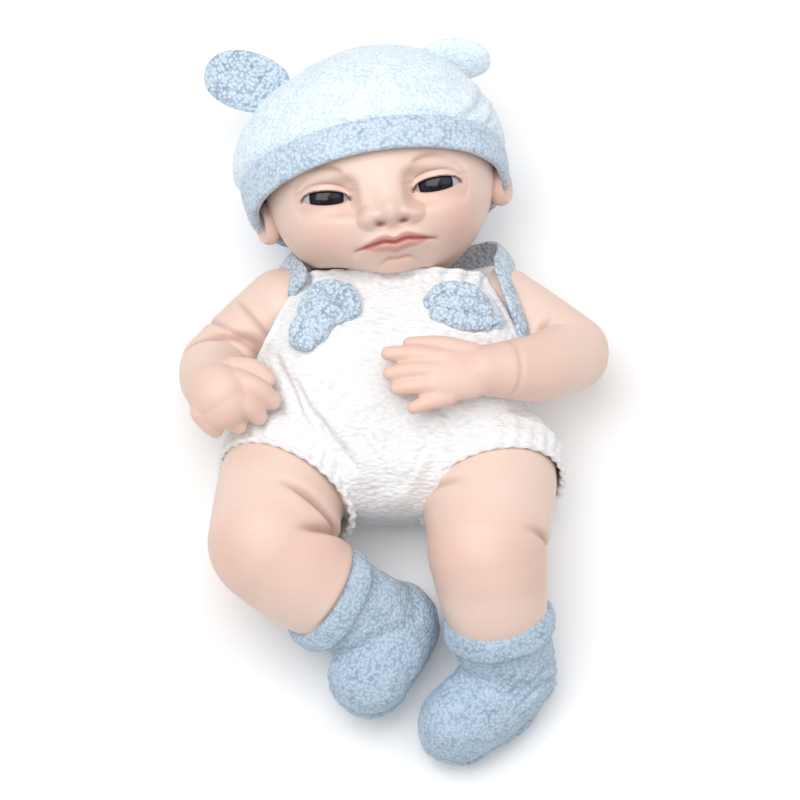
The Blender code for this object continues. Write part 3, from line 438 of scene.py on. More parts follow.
headVinyl = rotocastVinyl("rotocastVinylPainted", True)
limbVinyl = rotocastVinyl("rotocastVinyl", False)
# the hat's crown and band materials are lit and shaded copies of one terry
hatLitTerry, hatBandShadedTerry, knotTerry, bootTerry = (terryCloth(name, *look) for name, look in terryLooks.items())
whiteCotton = seersucker("whiteSeersucker", whiteLook)
eyePrint = paintedEye("acrylicEye")
print("materials ready")


# head

headShape = {
    "middle": np.array([-6.0, 84.0, 53.0]), "half": np.array([49.0, 48.0, 50.0]),
    "turn": (10, 17, -3),  # roll, nod and yaw in degrees
    "rows": 250, "cols": 340,
    "swellings": (((0.52, -0.42, 0.70), 4.2, 0.34), ((0, -0.86, 0.52), 3.0, 0.22)),
    "neckSeat": np.array([0.0, 44.0, 33.0]), "neckAxis": np.array([0, 0.97, 0.24]), "neckGap": 4.2,
}
eyeShape = {"x": 23.2, "y": {1: -8.0, -1: -6.2}, "z": 29.6, "half": (13.0, 11.0, 11.0), "wide": 9.6,
            "top": 3.1, "bottom": 2.8, "slant": {1: 0.03, -1: 0.12}, "lid": 0.9}
faceShift = {"x": 2.4, "nose": -1.8, "mouth": 3.2}  # how far the features sit from the skull's own middle
roll, nod, yaw = headShape["turn"]
headTurn = np.array(rotation(roll, "Z") @ rotation(nod, "X") @ rotation(yaw, "Y"))


def onHead(points):
    return headShape["middle"] + np.asarray(points, float) @ headTurn.T


def offHead(points):
    return (points - headShape["middle"]) @ headTurn


def skull(directions, grow=0.0):
    # an ellipsoid with round swellings for the cheeks and chin, pushed out along its normals
    base = directions * headShape["half"]
    normal = unit(directions / headShape["half"])
    rise = np.zeros(directions.shape[:-1])
    for spot, height, width in headShape["swellings"]:
        for side in ((1, -1) if spot[0] else (1,)):
            aim = unit([spot[0] * side, spot[1], spot[2]])
            rise += height * bell(norm(directions - aim, axis=-1), width)
    return base + normal * (rise + grow)[..., None]


def eyeLocal(x, y, side):
    # how far out and up a point is from one eye's middle, with the eye's slant taken off
    dx = (x - side * eyeShape["x"]) * side
    return dx, y - eyeShape["y"][side] - eyeShape["slant"][side] * dx


def lidEdges(dx):
    # heights of the upper and the lower lid's edge across the eye, near half ellipses
    t = np.clip(np.abs(dx) / eyeShape["wide"], 0, 1)
    arc = np.sqrt(np.maximum(0, 1 - t**2.2))
    return eyeShape["top"] * arc**1.1, -eyeShape["bottom"] * arc**1.2


def mouthLine(x):
    # height where the lips meet: a dip in the middle, a rise to each side of it, and corners that fall away
    ax = np.abs(x)
    return faceShift["mouth"] - 31.4 - 0.5 * bell(x, 2.6) + 0.5 * bell(ax - 5, 3.2) - 1.5 * (ax / 17) ** 2.6


def faceRelief(points):
    # the nose, lips and lids along the way the face looks: hills and grooves that are bells of the distance
    # from a point or a line, added up, with each lid hugging the ellipsoid of its eyeball
    x, y, z = points[..., 0], points[..., 1], points[..., 2].copy()
    front = fade(8, 22, z)
    for side in (1, -1):
        dx, dy = eyeLocal(x, y, side)
        up, low = lidEdges(dx)
        hollow = bell(dx, 13, 1.2) * bell(dy + 0.5, 10, 1.2)
        z = z - 1.6 * hollow * front
        ball = eyeShape["z"] + 11 * np.sqrt(np.maximum(0.02, 1 - (dx / 13.5) ** 2 - (dy / 12) ** 2))
        hug = np.exp(-((dx / 12.2) ** 6 + (dy / 7.2) ** 4)) * front
        skin = ball + eyeShape["lid"] + 0.5 * bell(dy - up - 0.9, 1.4)
        z = z * (1 - hug) + skin * hug
        upper = 0.5 * bell(dy - up - 4.8, 1.6) - 0.75 * bell(dy - up * 1.05 - 3.0, 0.55)  # lid's fold
        under = 0.28 * bell(dy - low + 3.4 + 0.02 * dx * dx, 0.8) * bell(dx + 2, 8, 2)
        z = z + (upper * bell(dx, 11.5, 2) - under) * front
    x, y = x - faceShift["x"], y - faceShift["nose"]
    ax = np.abs(x)
    rise = 3.0 * bell(x, 5.6) * fade(6, -12, y) * fade(-20.5, -16.5, y)  # bridge
    rise += 4.9 * np.exp(-((x / 6.4) ** 2 + ((y + 14.0) / 4.4) ** 2) ** 1.25)  # tip
    wing = ((ax - 8.9) / 4.1) ** 2 + ((y + 15.6) / 3.9) ** 2
    rise += 4.4 * np.exp(-(wing**1.5)) - 0.5 * bell(np.sqrt(wing) - 1.25, 0.25) * fade(7.5, 10, ax)
    rise += 1.4 * np.exp(-((x / 2.2) ** 2 + ((y + 18.4) / 2.0) ** 2))
    nostril = ((ax - 4.9) / 2.4) ** 2 + ((y + 18.3 - 0.12 * (ax - 4.9)) / 1.2) ** 2
    rise -= 3.6 * np.exp(-nostril**1.2)
    y = y + faceShift["nose"]
    v = y - mouthLine(x)
    rise -= 0.6 * bell(x, 1.7) * fade(3.0, 4.2, v) * fade(8.0, 6.4, v)  # groove over the lip
    rise += 2.2 * bell(v, 6.5) * bell(x, 13, 1.5)  # muzzle
    rise += 1.4 * bell(v - 2.0, 1.7) * bell(x, 12.5, 2) + 2.3 * bell(v + 2.6, 2.1) * bell(x, 11.5, 2)  # lips
    rise -= 1.9 * bell(v, 0.6) * fade(18.5, 14.5, ax) + 1.0 * bell(ax - 17.2, 1.6) * bell(v + 0.6, 2.0)
    rise -= 1.4 * bell(v + 6.6 + 0.03 * x * x, 1.0) * bell(x, 8.0, 2)
    z = z + rise * front
    return np.stack([points[..., 0], points[..., 1], z], -1)


def facePaint(points):
    # where the factory's spray and brush work lies: blush, lips, brows and eyelash lines, the eyelash lines
    # also standing for the lids' painted shadow; and painted shade in the creases, nostrils and mouth line
    x, y, z = points.T
    front = fade(8, 22, z)
    eyeX, x = x, x - faceShift["x"]
    ax = np.abs(x)
    v = y - mouthLine(x)
    upper = 3.1 * bell(x, 12.6, 1.4) * (1 - 0.3 * bell(x, 1.9))
    lower = 4.2 * bell(x, 12.0, 1.6)
    lips = np.where(v > 0, fade(upper + 0.5, upper - 0.5, v), fade(-lower - 0.6, -lower + 0.6, v))
    lips = lips * fade(15.5, 12, ax) * 0.6 + 0.4 * bell(v, 0.6) * fade(17, 12, ax)
    blush = 0.34 * np.exp(-((ax - 28) / 13) ** 2 - ((y + 24) / 12) ** 2) + 0.16 * bell(x, 9) * bell(y + 15, 7)
    blush += 0.28 * bell(x, 9) * bell(y + 42, 6) + 0.3 * bell(ax - 49, 5) * bell(y + 13, 12) * (z < 10)
    brow, lash = np.zeros(len(x)), np.zeros(len(x))
    # painted shade: in the mouth line, under the lower lip, in the nostrils, round the nose wings and, below,
    # in the lids' folds
    fold = 0.75 * bell(v, 0.6) * fade(18.5, 16, ax)
    fold += 0.5 * bell(v + 6.8 + 0.03 * x * x, 0.8) * bell(x, 8.0, 2)
    noseY = y - faceShift["nose"]
    fold += 0.9 * np.exp(-(((ax - 4.9) / 2.3) ** 2 + ((noseY + 18.6) / 1.0) ** 2))
    wing = np.sqrt(((ax - 8.9) / 4.1) ** 2 + ((noseY + 15.6) / 3.9) ** 2)
    fold += 0.2 * bell(wing - 1.3, 0.18) * fade(7.5, 10, ax)
    for side in (1, -1):
        dx, dy = eyeLocal(eyeX, y, side)
        up, low = lidEdges(dx)
        inside = fade(11.5, 9.5, np.abs(dx))
        # a dark line on each lid's edge: a painted eyelash line that is also the painted shadow of the lid on
        # the eye
        lash = np.maximum(lash, 0.95 * fade(0.75, 0.3, dy - up) * (dy > up - 1.4) * inside)
        lash = np.maximum(lash, 0.3 * fade(-0.7, -0.2, dy - low) * (dy < low + 1.2) * inside)
        fold += 0.55 * bell(dy - up * 1.05 - 3.0, 0.5) * bell(dx, 11.5, 2)
        blush += 0.3 * bell(dx, 12, 2) * bell(dy + 1, 5, 2)
        arch = 12.6 - 0.035 * (dx + 2) ** 2
        brow = np.maximum(brow, 0.6 * bell(dy - arch, 1.25) * fade(-10.5, -7, dx) * fade(9, -3, dx))
    return {"lips": lips * front, "blush": np.clip(blush, 0, 0.8), "brow": brow * front, "lash": lash * front,
            "fold": np.clip(fold, 0, 1) * front}


def dishedEar(side):
    # a squashed ball with a raised rim and a hollow on its outer face, bells of the distance from its middle
    ball = np.roll(ballGrid(np.linspace(0, math.pi, 40)[:, None], 60), 1, axis=-1)
    p = ball * (4.6, 9.8, 7.6)
    rim = np.sqrt(ball[..., 1] ** 2 + ball[..., 2] ** 2)
    outer = ball[..., 0]
    p[..., 0] += 1.4 * bell(rim - 0.82, 0.16) * (outer > 0) - 3.4 * bell(rim, 0.5) * fade(0, 0.5, outer)
    p[..., 1] = p[..., 1] * (1 - 0.12 * (ball[..., 1] < 0))
    p = p @ np.array(rotation(-24, "Y")).T
    p[..., 0] *= side
    return onHead(p + (side * 50.0, -11.8, -3.0))


def makeHead():
    # directions on rings about the way the face looks, closer together on the face
    share = np.linspace(0, 1, headShape["rows"])[:, None]
    polar = math.pi * (0.62 * share + 0.38 * share**3)
    points = onHead(faceRelief(skull(ballGrid(polar, headShape["cols"]))))
    neck = unit(headShape["neckAxis"])
    seat = headShape["neckSeat"] + neck * headShape["neckGap"]
    under = np.minimum((points - seat) @ neck, 0) * fade(72, 63, points[..., 2])  # flat over the neck
    points = points - under[..., None] * neck
    head = makePiece("headSkin", [points], headVinyl)
    cutters = bpy.data.collections.new("eyeCutters")
    for side in (1, -1):
        cutters.objects.link(eyeCutter(side))
    cut = head.modifiers.new("eyes", "BOOLEAN")
    cut.operation, cut.solver, cut.operand_type, cut.collection = "DIFFERENCE", "EXACT", "COLLECTION", cutters
    applyModifiers(head)
    for cutter in list(cutters.objects):
        bpy.data.objects.remove(cutter)
    bpy.data.collections.remove(cutters)
    ears = makePiece("earPair", [dishedEar(1), dishedEar(-1)])
    bm = bmesh.new()
    bm.from_mesh(head.data)
    bm.from_mesh(ears.data)
    bm.to_mesh(head.data)
    bm.free()
    bpy.data.objects.remove(ears)
    head.data.shade_smooth()
    for name, values in facePaint(offHead(readPoints(head))).items():
        writeMask(head, name, values)
    return head


def eyeCutter(side):
    # an almond prism with closed ends, from before the face to inside the eyeball
    across = eyeShape["wide"] * np.cos(np.linspace(0, math.pi, 40))
    up, low = lidEdges(across)
    dx = np.concatenate([across, across[::-1][1:-1]])
    dy = np.concatenate([up, low[::-1][1:-1]])
    edge = np.stack([side * dx, dy + eyeShape["slant"][side] * dx, 0 * dx], -1)
    rings = ((0, 33), (1, 33), (1, 60), (0, 60))  # scale and depth, closed at both ends
    grid = [edge * scale + (side * eyeShape["x"], eyeShape["y"][side], depth) for scale, depth in rings]
    return makePiece(f"eyeCutter{side}", [onHead(np.array(grid))])


def makeEye(name, side):
    # an ellipsoid, with masks for the distance from the pupil's middle and for the angle round it
    ball = ballGrid(np.linspace(0, math.pi, 60)[:, None], 72)
    middle = np.array([side * eyeShape["x"], eyeShape["y"][side], eyeShape["z"]])
    eye = makePiece(name, [onHead(ball * eyeShape["half"] + middle)], eyePrint)
    local = offHead(readPoints(eye)) - middle - (-0.4 * side, 0.4, 0)  # pupils sit inward and up
    writeMask(eye, "iris", np.where(local[:, 2] > 0, np.hypot(local[:, 0], local[:, 1]), 20))
    writeMask(eye, "spoke", np.abs(np.arctan2(local[:, 1], local[:, 0])) * 1.5)
    return eye


def standIn(piece, body, slot, *nodes):
    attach(piece, body)
    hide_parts(*nodes)


standIn(makeHead(), "head", "vinyl_skin", "head_shell")
for name, node, side in (("leftEyeball", "left_eye", 1), ("rightEyeball", "right_eye", -1)):
    standIn(makeEye(name, side), "head", "eye_acrylic", node)
print("head and eyes made")


# hat

hatShape = {
    "axis": unit([0, 0.93, -0.37]), "rim": 102.0, "bandTop": 87.0, "rows": 130, "cols": 260,
    "slack": (((-0.93, 0.35, 0.1), 6.0, 0.6), ((0.2, 0.95, 0.2), 3.5, 0.5), ((0.7, 0.7, 0.0), 2.0, 0.4)),
    "folds": (  # in the head's axes: a point, the groove's own axis, depth, width, reach
        ((40, 22, 20), (-0.25, 0.95, 0.2), 2.2, 1.6, 22), ((44, 14, 14), (-0.35, 0.9, 0.3), 2.4, 1.5, 20),
        ((30, 32, 22), (-0.1, 0.9, -0.4), 1.2, 1.8, 18), ((-40, 30, 14), (0.3, 0.9, 0.2), 1.0, 2.4, 24)),
}


def hatDirections(polar, turn):
    # unit directions at polar angles from the hat's crown, in the space where the skull is a ball,
    # and the cloth's slack there: the sum of a few round bells
    pole = unit(hatShape["axis"] * headShape["half"])
    across = np.array([1.0, 0, 0])
    over = np.cross(pole, across)
    out = np.cos(turn)[..., None] * across + np.sin(turn)[..., None] * over
    d = np.cos(polar)[..., None] * pole + np.sin(polar)[..., None] * out
    slack = np.zeros(d.shape[:-1])
    for aim, height, width in hatShape["slack"]:
        slack += height * bell(norm(d - unit(aim), axis=-1), width)
    return d, slack


def makeHat():
    # the skull's ellipsoid, lifted by the cloth's thickness and slack, with noise for wrinkles, and grooves
    turn = fullTurn(hatShape["cols"])
    polar = math.radians(hatShape["bandTop"] + 1.5) * np.linspace(1, 0, hatShape["rows"])[:, None]
    degrees = np.degrees(polar)
    tuck = fade(hatShape["bandTop"] + 1.5, hatShape["bandTop"] - 5.5, degrees)
    lift = 2.2 + 5.2 * np.sqrt(np.clip(tuck, 0, 1)) - 1.8 * fade(74, 40, degrees) + 0 * turn
    d, slack = hatDirections(polar, turn)
    local = d * (headShape["half"] + (lift + slack)[..., None])
    wrinkle = 0.9 * softNoise(local, 16, 3) + 0.45 * softNoise(local, 7, 4)
    for at, axis, depth, width, reach in hatShape["folds"]:
        gap = local - at
        along = gap @ unit(axis) + 2.0 * softNoise(local, 18, 5)
        near = fade(reach, reach * 0.4, norm(gap, axis=-1))
        wrinkle += depth * near * (0.5 * bell(along - 2.4 * width, 2 * width) - bell(along, width))
    local = local + unit(d / headShape["half"]) * (wrinkle * tuck)[..., None]
    inner = d[0] * (headShape["half"] + 1.0)
    grid = overFloor(onHead(np.vstack([inner[None], local])))
    return makePiece("hatCrown", [grid], hatLitTerry)


def makeBand():
    # the turned-up brim: a closed loop of cloth carried round the head, thick and rounded at its lower edge
    # its section is a superellipse, 15.6 degrees tall and 5.2 mm thick
    turn, beta = fullTurn(300), fullTurn(44).T
    middle, half = (hatShape["rim"] + hatShape["bandTop"]) / 2, (hatShape["rim"] - hatShape["bandTop"]) / 2
    rise, out = signedPower(np.sin(beta), 0.55), signedPower(np.cos(beta), 0.7)
    polar = np.radians(middle + half * 1.04 * rise) + 0 * turn
    d, slack = hatDirections(polar, turn)
    lift = 4.3 + 2.6 * out + 0.5 * fade(0.2, 1, rise) + 0 * turn
    drift = 0.5 * softNoise(d * 50, 12, 8)
    local = d * (headShape["half"] + (lift + slack * 0.85 + drift)[..., None])
    grid = overFloor(onHead(local))
    loop = np.vstack([grid, grid[:1]])
    return makePiece("hatBand", [loop], hatBandShadedTerry)


def makeHatEar(name, look):
    # a stuffed half round: a flat oval pad, plump in the middle, with a dent on its front
    ball = ballGrid(np.linspace(0, math.pi, 50)[:, None], 80)
    p = signedPower(ball, np.array([0.9, 0.9, 1.1])) * look["half"]
    dent = bell(ball[..., 0], 0.5) * bell(ball[..., 1], 0.5) * fade(-0.2, 0.6, ball[..., 2])
    p[..., 2] -= look["dent"] * dent
    p[..., 2] += look["curl"] * (p[..., 1] / look["half"][1]) ** 2
    p += unit(p) * (0.8 * softNoise(p + look["seed"], 8, look["seed"]))[..., None]
    turnBy = Matrix.Identity(3)
    for axis, angle in look["turns"]:
        turnBy = rotation(angle, axis) @ turnBy
    p = p @ np.array(turnBy).T + look["at"]
    return makePiece(name, [onHead(p)], knotTerry if look["dark"] else hatLitTerry)


hatEars = {
    "right": {"at": (-49.0, 51.0, -8.8), "half": (19.0, 12.6, 4.8), "dent": 2.6, "curl": 1.5, "seed": 11,
              "dark": True, "turns": (("X", 8), ("Y", -6), ("Z", -22))},
    "left": {"at": (39.5, 43.5, -16.0), "half": (17, 13.5, 4.8), "dent": 0.5, "curl": -2.5, "seed": 12,
             "dark": False, "turns": (("X", 52), ("Y", -14), ("Z", 4))},
}
hat, band = makeHat(), makeBand()
standIn(hat, "head", "blue_terry", "hat")
standIn(band, "head", "blue_terry", "hat_brim")
for side, look in hatEars.items():
    ear = makeHatEar(f"hatEar{side.capitalize()}", look)
    standIn(ear, "head", "blue_terry", f"hat_ear_{side}")
print("hat made")


# limbs: tubes and fingers are stations of x, y, z and radius, and a fold is a point, the groove's own axis,
# the way its open side faces, depth, width, reach, and the facing (-1 to 1) at which it starts

shoulder = {"at": (47, 28.2, 37), "axis": (0.96, -0.28, 0), "face": 9.5, "round": 20}
hip = {"at": (42, -38, 35), "axis": (0.87, -0.5, 0), "face": 7.5, "round": 22}
leftArm = {
    "tubes": (
        ((47, 29, 37, 19), (60, 22, 39.5, 16.4), (76, 9, 46, 15.4)),
        ((76, 7, 47, 15.2), (63, -2, 61, 14.6), (50, -6, 71, 12.6), (37, -8.5, 78.5, 10.2))),
    "palm": ((38, -8.5, 79, 9.6), (29, -10.5, 81, 11.2), (20, -12, 82, 10.4)),
    "palmFlat": 0.62, "palmAxis": (0.25, 0.1, 0.96),
    "fingers": (
        ((22, -4.8, 83, 4.3), (9, -3.2, 84.5, 3.9), (-2, -2.8, 84, 3.0)),
        ((22, -10.6, 84, 4.3), (9, -10.4, 85.6, 3.9), (-1.4, -11.4, 84.5, 3.0)),
        ((22, -16.2, 83.5, 4.1), (10, -16.6, 85, 3.7), (1.4, -17.6, 84, 2.9)),
        ((23, -20.4, 82, 3.9), (14, -23.4, 83.5, 3.4), (8.4, -25.6, 83, 2.7)),
        ((33, -2, 79.5, 5.2), (20, 1.4, 81, 4.2), (7, 1.8, 82, 3.1))),
    "folds": (
        ((66, 16, 42), (0.8, -0.5, 0.2), (-0.4, -0.6, 0.5), 1.5, 1.4, 24, 0.2),
        ((46, -7, 73), (-0.8, -0.1, 0.5), (0.3, 0.2, 1), 0.5, 1.2, 22, -0.2)),
}
rightArm = {
    "tubes": (
        ((-47, 29, 37, 18.8), (-59, 21, 34, 16.8), (-75, 6, 33.5, 15.5)),
        ((-76, 4, 34, 15.3), (-75, -4, 48, 14.8), (-73.5, -9, 60, 13), (-72, -13, 69, 11))),
    "palm": ((-72, -13, 70, 11), (-72.5, -17, 74, 12.6), (-70.5, -20.5, 73.5, 11.6)),
    "palmFlat": 0.84, "palmAxis": (-0.3, -0.2, 0.9),
    "fingers": (
        ((-65, -12, 76.5, 5.0), (-56, -15.4, 75, 4.6), (-49.8, -19, 69.5, 3.9)),
        ((-68, -18.4, 77.4, 5.0), (-60.4, -22.4, 74.4, 4.5), (-55.4, -25.4, 68.4, 3.8)),
        ((-73.4, -22.4, 76, 4.8), (-67.6, -26.6, 72.4, 4.3), (-63.8, -28.8, 67, 3.7)),
        ((-79, -25, 73.4, 4.5), (-75.6, -29, 69.8, 4.0), (-73.4, -30.4, 65.6, 3.5)),
        ((-66, -6, 73, 5.0), (-58, -6, 72, 4.3), (-52, -10, 70, 3.6))),
    "folds": (
        ((-56, 23, 35), (-0.72, -0.6, -0.2), (0.5, 0, 1), 1.0, 1.0, 26, 0.1),
        ((-66, 15, 34), (-0.6, -0.8, 0), (-0.1, 0.2, 1), 1.0, 1.1, 26, 0.0),
        ((-74, 6, 38), (-0.1, -0.75, 0.6), (-0.2, 0.7, 1), 1.6, 1.6, 26, 0.0)),
}
leftLeg = {
    "tubes": (
        ((42, -38, 35, 27), (40.5, -50, 42, 28), (38.5, -78, 54, 24.6)),
        ((38.5, -80, 54, 24.2), (42, -97, 46, 22.4), (46.5, -115, 29, 17)),
        ((50, -124, 19, 13.5), (39, -136, 20, 13.5))),
    "folds": (
        ((40, -64, 48), (-0.25, -0.9, 0.35), (-1, 0, 0.1), 1.8, 1.6, 34, 0.35),
        ((39, -78, 50), (0.05, -0.98, 0.2), (1, 0, 0.1), 2.2, 1.8, 34, 0.5),
        ((41, -91, 48), (0.1, -0.9, -0.4), (0, -0.3, 1), 0.3, 6.0, 36, 0.0)),
}
rightLeg = {
    "tubes": (
        ((-42, -38, 35, 27), (-46, -50, 42, 27.8), (-52, -76, 57, 24.6)),
        ((-51, -78, 57, 24.2), (-36, -90, 50, 22.2), (-19, -100, 36, 17)),
        ((2, -103, 24, 13), (-5, -116, 28, 13))),
    "folds": (
        ((-48, -61, 49), (-0.45, -0.85, 0.3), (1, 0.1, 0.35), 2.6, 1.7, 34, 0.3),
        ((-44, -78, 52), (0.2, -0.95, 0.1), (1, 0.2, 0.3), 2.4, 1.8, 32, 0.35),
        ((-28, -94, 43), (0.8, -0.42, -0.42), (0.3, 0.4, 1), 1.6, 1.3, 30, 0.0)),
}


def makeLimb(name, shape, joint, side, voxel):
    # tubes fused into one skin, creased, then cut flat where they meet the torso's socket
    grids = [tubeGrid(tube, guide=(0.05, 0.3, 1)) for tube in shape["tubes"]]
    if "palm" in shape:
        grids.append(tubeGrid(shape["palm"], flat=shape["palmFlat"], flatAxis=shape["palmAxis"]))
        grids += [tubeGrid(finger, cols=28) for finger in shape["fingers"]]
    limb = makePiece(name, grids)
    fuse(limb, voxel, 6 if "palm" in shape else 14)
    setMaterial(limb, limbVinyl)
    addCreases(limb, shape["folds"])
    points = readPoints(limb)
    axis = unit(np.array(joint["axis"]) * (side, 1, 1))
    pivot = np.array(joint["at"]) * (side, 1, 1)
    gap = points - pivot
    reach = norm(gap - (gap @ axis)[:, None] * axis, axis=1)
    past = np.minimum(gap @ axis + joint["face"], 0) * fade(joint["round"] + 8, joint["round"], reach)
    points = points - past[:, None] * axis  # the flat face in the torso's socket
    writePoints(limb, points)
    knuckles = 0.22 * fade(60, 84, points[:, 2])
    knee = 0.25 * bell(points[:, 1] + 84, 16) * fade(40, 75, points[:, 2])
    writeMask(limb, "blush", knuckles if "palm" in shape else knee)
    return limb


for name, shape, joint, side, body, voxel in (
        ("leftArmSkin", leftArm, shoulder, 1, "left_arm", 0.75),
        ("rightArmSkin", rightArm, shoulder, -1, "right_arm", 0.75),
        ("leftLegSkin", leftLeg, hip, 1, "left_leg", 1.0),
        ("rightLegSkin", rightLeg, hip, -1, "right_leg", 1.0)):
    standIn(makeLimb(name, shape, joint, side, voxel), body, "vinyl_skin", body)
print("limbs made")


# romper

romperShape = {  # y, half width, back z, front z, where the armholes open in degrees
    "stations": (
        (-62.5, 1, 34, 36, 0), (-61.5, 15, 24, 46, 0), (-57, 27, 13, 57, 0), (-48, 40, 4, 66, 0),
        (-35, 50, 1, 70.5, 0), (-20, 56, 0.4, 73.5, 0), (-5, 58.5, 0.4, 74.5, 0), (4, 59.5, 0.4, 74, 20),
        (12, 60, 0.5, 73, 33), (24, 56, 1.5, 69, 38), (34, 50, 4, 64.5, 38), (42, 47, 6, 61.5, 36)),
    "power": 2.35, "rows": 190, "cols": 230, "wall": 1.3,
}


def romperPanel(front):
    # superellipses of power 2.35 carried up the body by a smooth curve, the front or the back half of each
    s = splinePath(romperShape["stations"], 24)
    picks = np.linspace(0, len(s) - 1, romperShape["rows"])
    y, half, back, top, opening = (np.interp(picks, np.arange(len(s)), s[:, k])[:, None] for k in range(5))
    share = np.linspace(0, 1, romperShape["cols"])[None, :]
    edge = np.radians(np.clip(opening, 0, 60))
    angle = edge + (math.pi - 2 * edge) * share
    if not front:
        angle = -angle
    c, sn = np.cos(angle), np.sin(angle)
    power = 2 / romperShape["power"]
    x = np.maximum(half, 0) * signedPower(c, power)
    z = (top + back) / 2 + (top - back) / 2 * signedPower(sn, power)
    lean = (0.09 if front else 0.2474) * np.clip((y + 8.5) / 52.5, 0, 1) ** 2  # the top follows the neck
    grid = np.stack([x, y - lean * (z - 33), z], -1)
    outZ = (z - (top + back) / 2) / ((top - back) / 2) ** 2
    out = unit(np.stack([x / np.maximum(half, 3) ** 2, 0 * x, outZ], -1))
    return grid, out, y + 0 * x


romperFolds = (  # by the fist, the hand and the crotch: place, the groove's own axis, depth, width, reach
    ((-42, -14), (0.93, 0.36), 2.6, 1.9, 24), ((-33, -24), (0.9, 0.42), 2.4, 1.7, 24),
    ((-25, -36), (0.8, 0.6), 2.2, 1.6, 20), ((12, -32), (0.72, 0.7), 1.6, 1.8, 20),
    ((26, -26), (0.5, 0.86), 1.8, 2.0, 24), ((-9, -42), (0.9, 0.5), 0.9, 1.4, 14),
    ((9, -44), (0.85, -0.5), 0.9, 1.4, 14), ((40, 4), (0.3, 0.95), 1.2, 2.0, 20),
    ((-10, 36), (0.2, 0.98), 0.8, 1.2, 16), ((14, 35), (-0.1, 0.99), 0.8, 1.1, 16),
)


def ruffle(grid, y, front):
    # loose cotton: sine waves for gathers under the neck edge and drag lines to the crotch, grooves between
    # rolls as in creaseDepth, and noise in three sizes for puckers all over
    x = grid[..., 0]
    gathers = 0.9 * np.sin(x * 0.75 + 1.5 * softNoise(grid, 14, 21)) * fade(26, 38, y)
    drag = 1.3 * np.sin((x - 0.35 * y) * 0.34 + 2.0 * softNoise(grid, 20, 22))
    drag = drag * fade(-26, -50, y) * fade(-63, -58, y)
    for at, axis, depth, width, reach in romperFolds:
        gap = grid[..., :2] - at
        along = gap @ unit(axis) + 2.5 * softNoise(grid, 16, 26)
        near = fade(reach, reach * 0.3, norm(gap, axis=-1))
        if front:
            drag = drag + depth * near * (0.6 * bell(along - 2.2 * width, 2 * width) - bell(along, width))
    puff = 1.6 * softNoise(grid, 22, 23) + 0.8 * softNoise(grid, 9, 24) + 0.35 * softNoise(grid, 4, 25)
    return (gathers + drag + puff) * fade(-62.5, -58, y) * (1.0 if front else 0.5)


def makeRomper():
    panels = []
    for front in (True, False):
        grid, out, y = romperPanel(front)
        panels.append(overFloor(grid + out * ruffle(grid, y, front)[..., None]))
    edge = panels[0]
    armhole = edge[:, 0, 1] > 2
    run = np.vstack([edge[armhole, 0][::6], edge[-1, 6:-6:7], edge[armhole, -1][::-6]])
    piping = tubeGrid(np.column_stack([run, np.full(len(run), 1.5)]), cols=16, steps=6)
    hem = makePiece("romperHem", [piping], whiteCotton)
    romper = makePiece("romperBody", panels, whiteCotton, around=False)
    wall = romper.modifiers.new("cloth", "SOLIDIFY")
    wall.thickness, wall.offset = romperShape["wall"] * mm, -1
    return romper, hem


def makeSleeve(name, side, hipAt, towards, reach):
    # rings round the thigh from inside the hip to a slanting hem, gathered in 31 waves and rolled
    d = unit(np.array(towards) - hipAt)
    outward = unit(np.array([side, 0, 0]) - d * side * d[0])
    up = unit(np.cross(outward, d)) * np.sign(np.cross(outward, d)[2])
    turn = fullTurn(220)
    share = np.linspace(0, 1, 90)[:, None]
    end = reach[0] - reach[1] * np.cos(turn) + reach[2] * np.sin(turn)
    s = (end + 26.0) * share - 26.0
    radius = np.interp(s, (-26, -14, -4, 6, 30), (10, 24.5, 30.5, 31.8, 31))
    pinch = fade(9, 0, end - s)
    radius = radius - 1.6 * pinch + 0.45 * np.sin(turn * 31 + 1.2 * np.sin(turn * 3)) * fade(20, 3, end - s)
    spoke = np.cos(turn)[..., None] * outward + np.sin(turn)[..., None] * up
    points = hipAt + d * s[..., None] + radius[..., None] * spoke
    puff = 1.1 * softNoise(points, 12, 31 + side) + 0.45 * softNoise(points, 5, 33)
    radial = unit(points - hipAt - d * s[..., None])
    points = points + radial * (puff * fade(0, 8, end - s))[..., None]
    beta = np.linspace(0, math.tau, 13)[:, None]  # the rolled hem
    last, normal = points[-1][None], radial[-1][None]
    rolled = last + 1.3 * (np.cos(beta)[..., None] * normal + np.sin(beta)[..., None] * d)
    lining = last - normal * 1.0 + (points[-30][None] - last) * np.linspace(0, 1, 8)[:, None, None]
    return makePiece(name, [overFloor(grid) for grid in (points, rolled, lining)], whiteCotton), d


def ribbonGrid(path, halfWidth, thick, normalTo):
    # a flat superellipse carried along a smooth path, its flat side facing off a point
    s = splinePath([(*p, 1.0) for p in path], 14)[:, :3]
    along = unit(np.gradient(s, axis=0))
    out = unit(s - normalTo)
    across = unit(np.cross(along, out))
    out = np.cross(across, along)
    beta = fullTurn(28)[..., None]
    wide = signedPower(np.cos(beta), 0.6) * halfWidth
    high = signedPower(np.sin(beta), 0.8) * thick
    grid = s[:, None] + wide * across[:, None] + high * out[:, None]
    grid = grid + unit(grid - s[:, None]) * (0.5 * softNoise(grid, 5, 41))[..., None]
    ends = [s[0][None, None] + 0 * grid[:1], s[-1][None, None] + 0 * grid[:1]]
    return np.vstack([ends[0], grid, ends[1]])


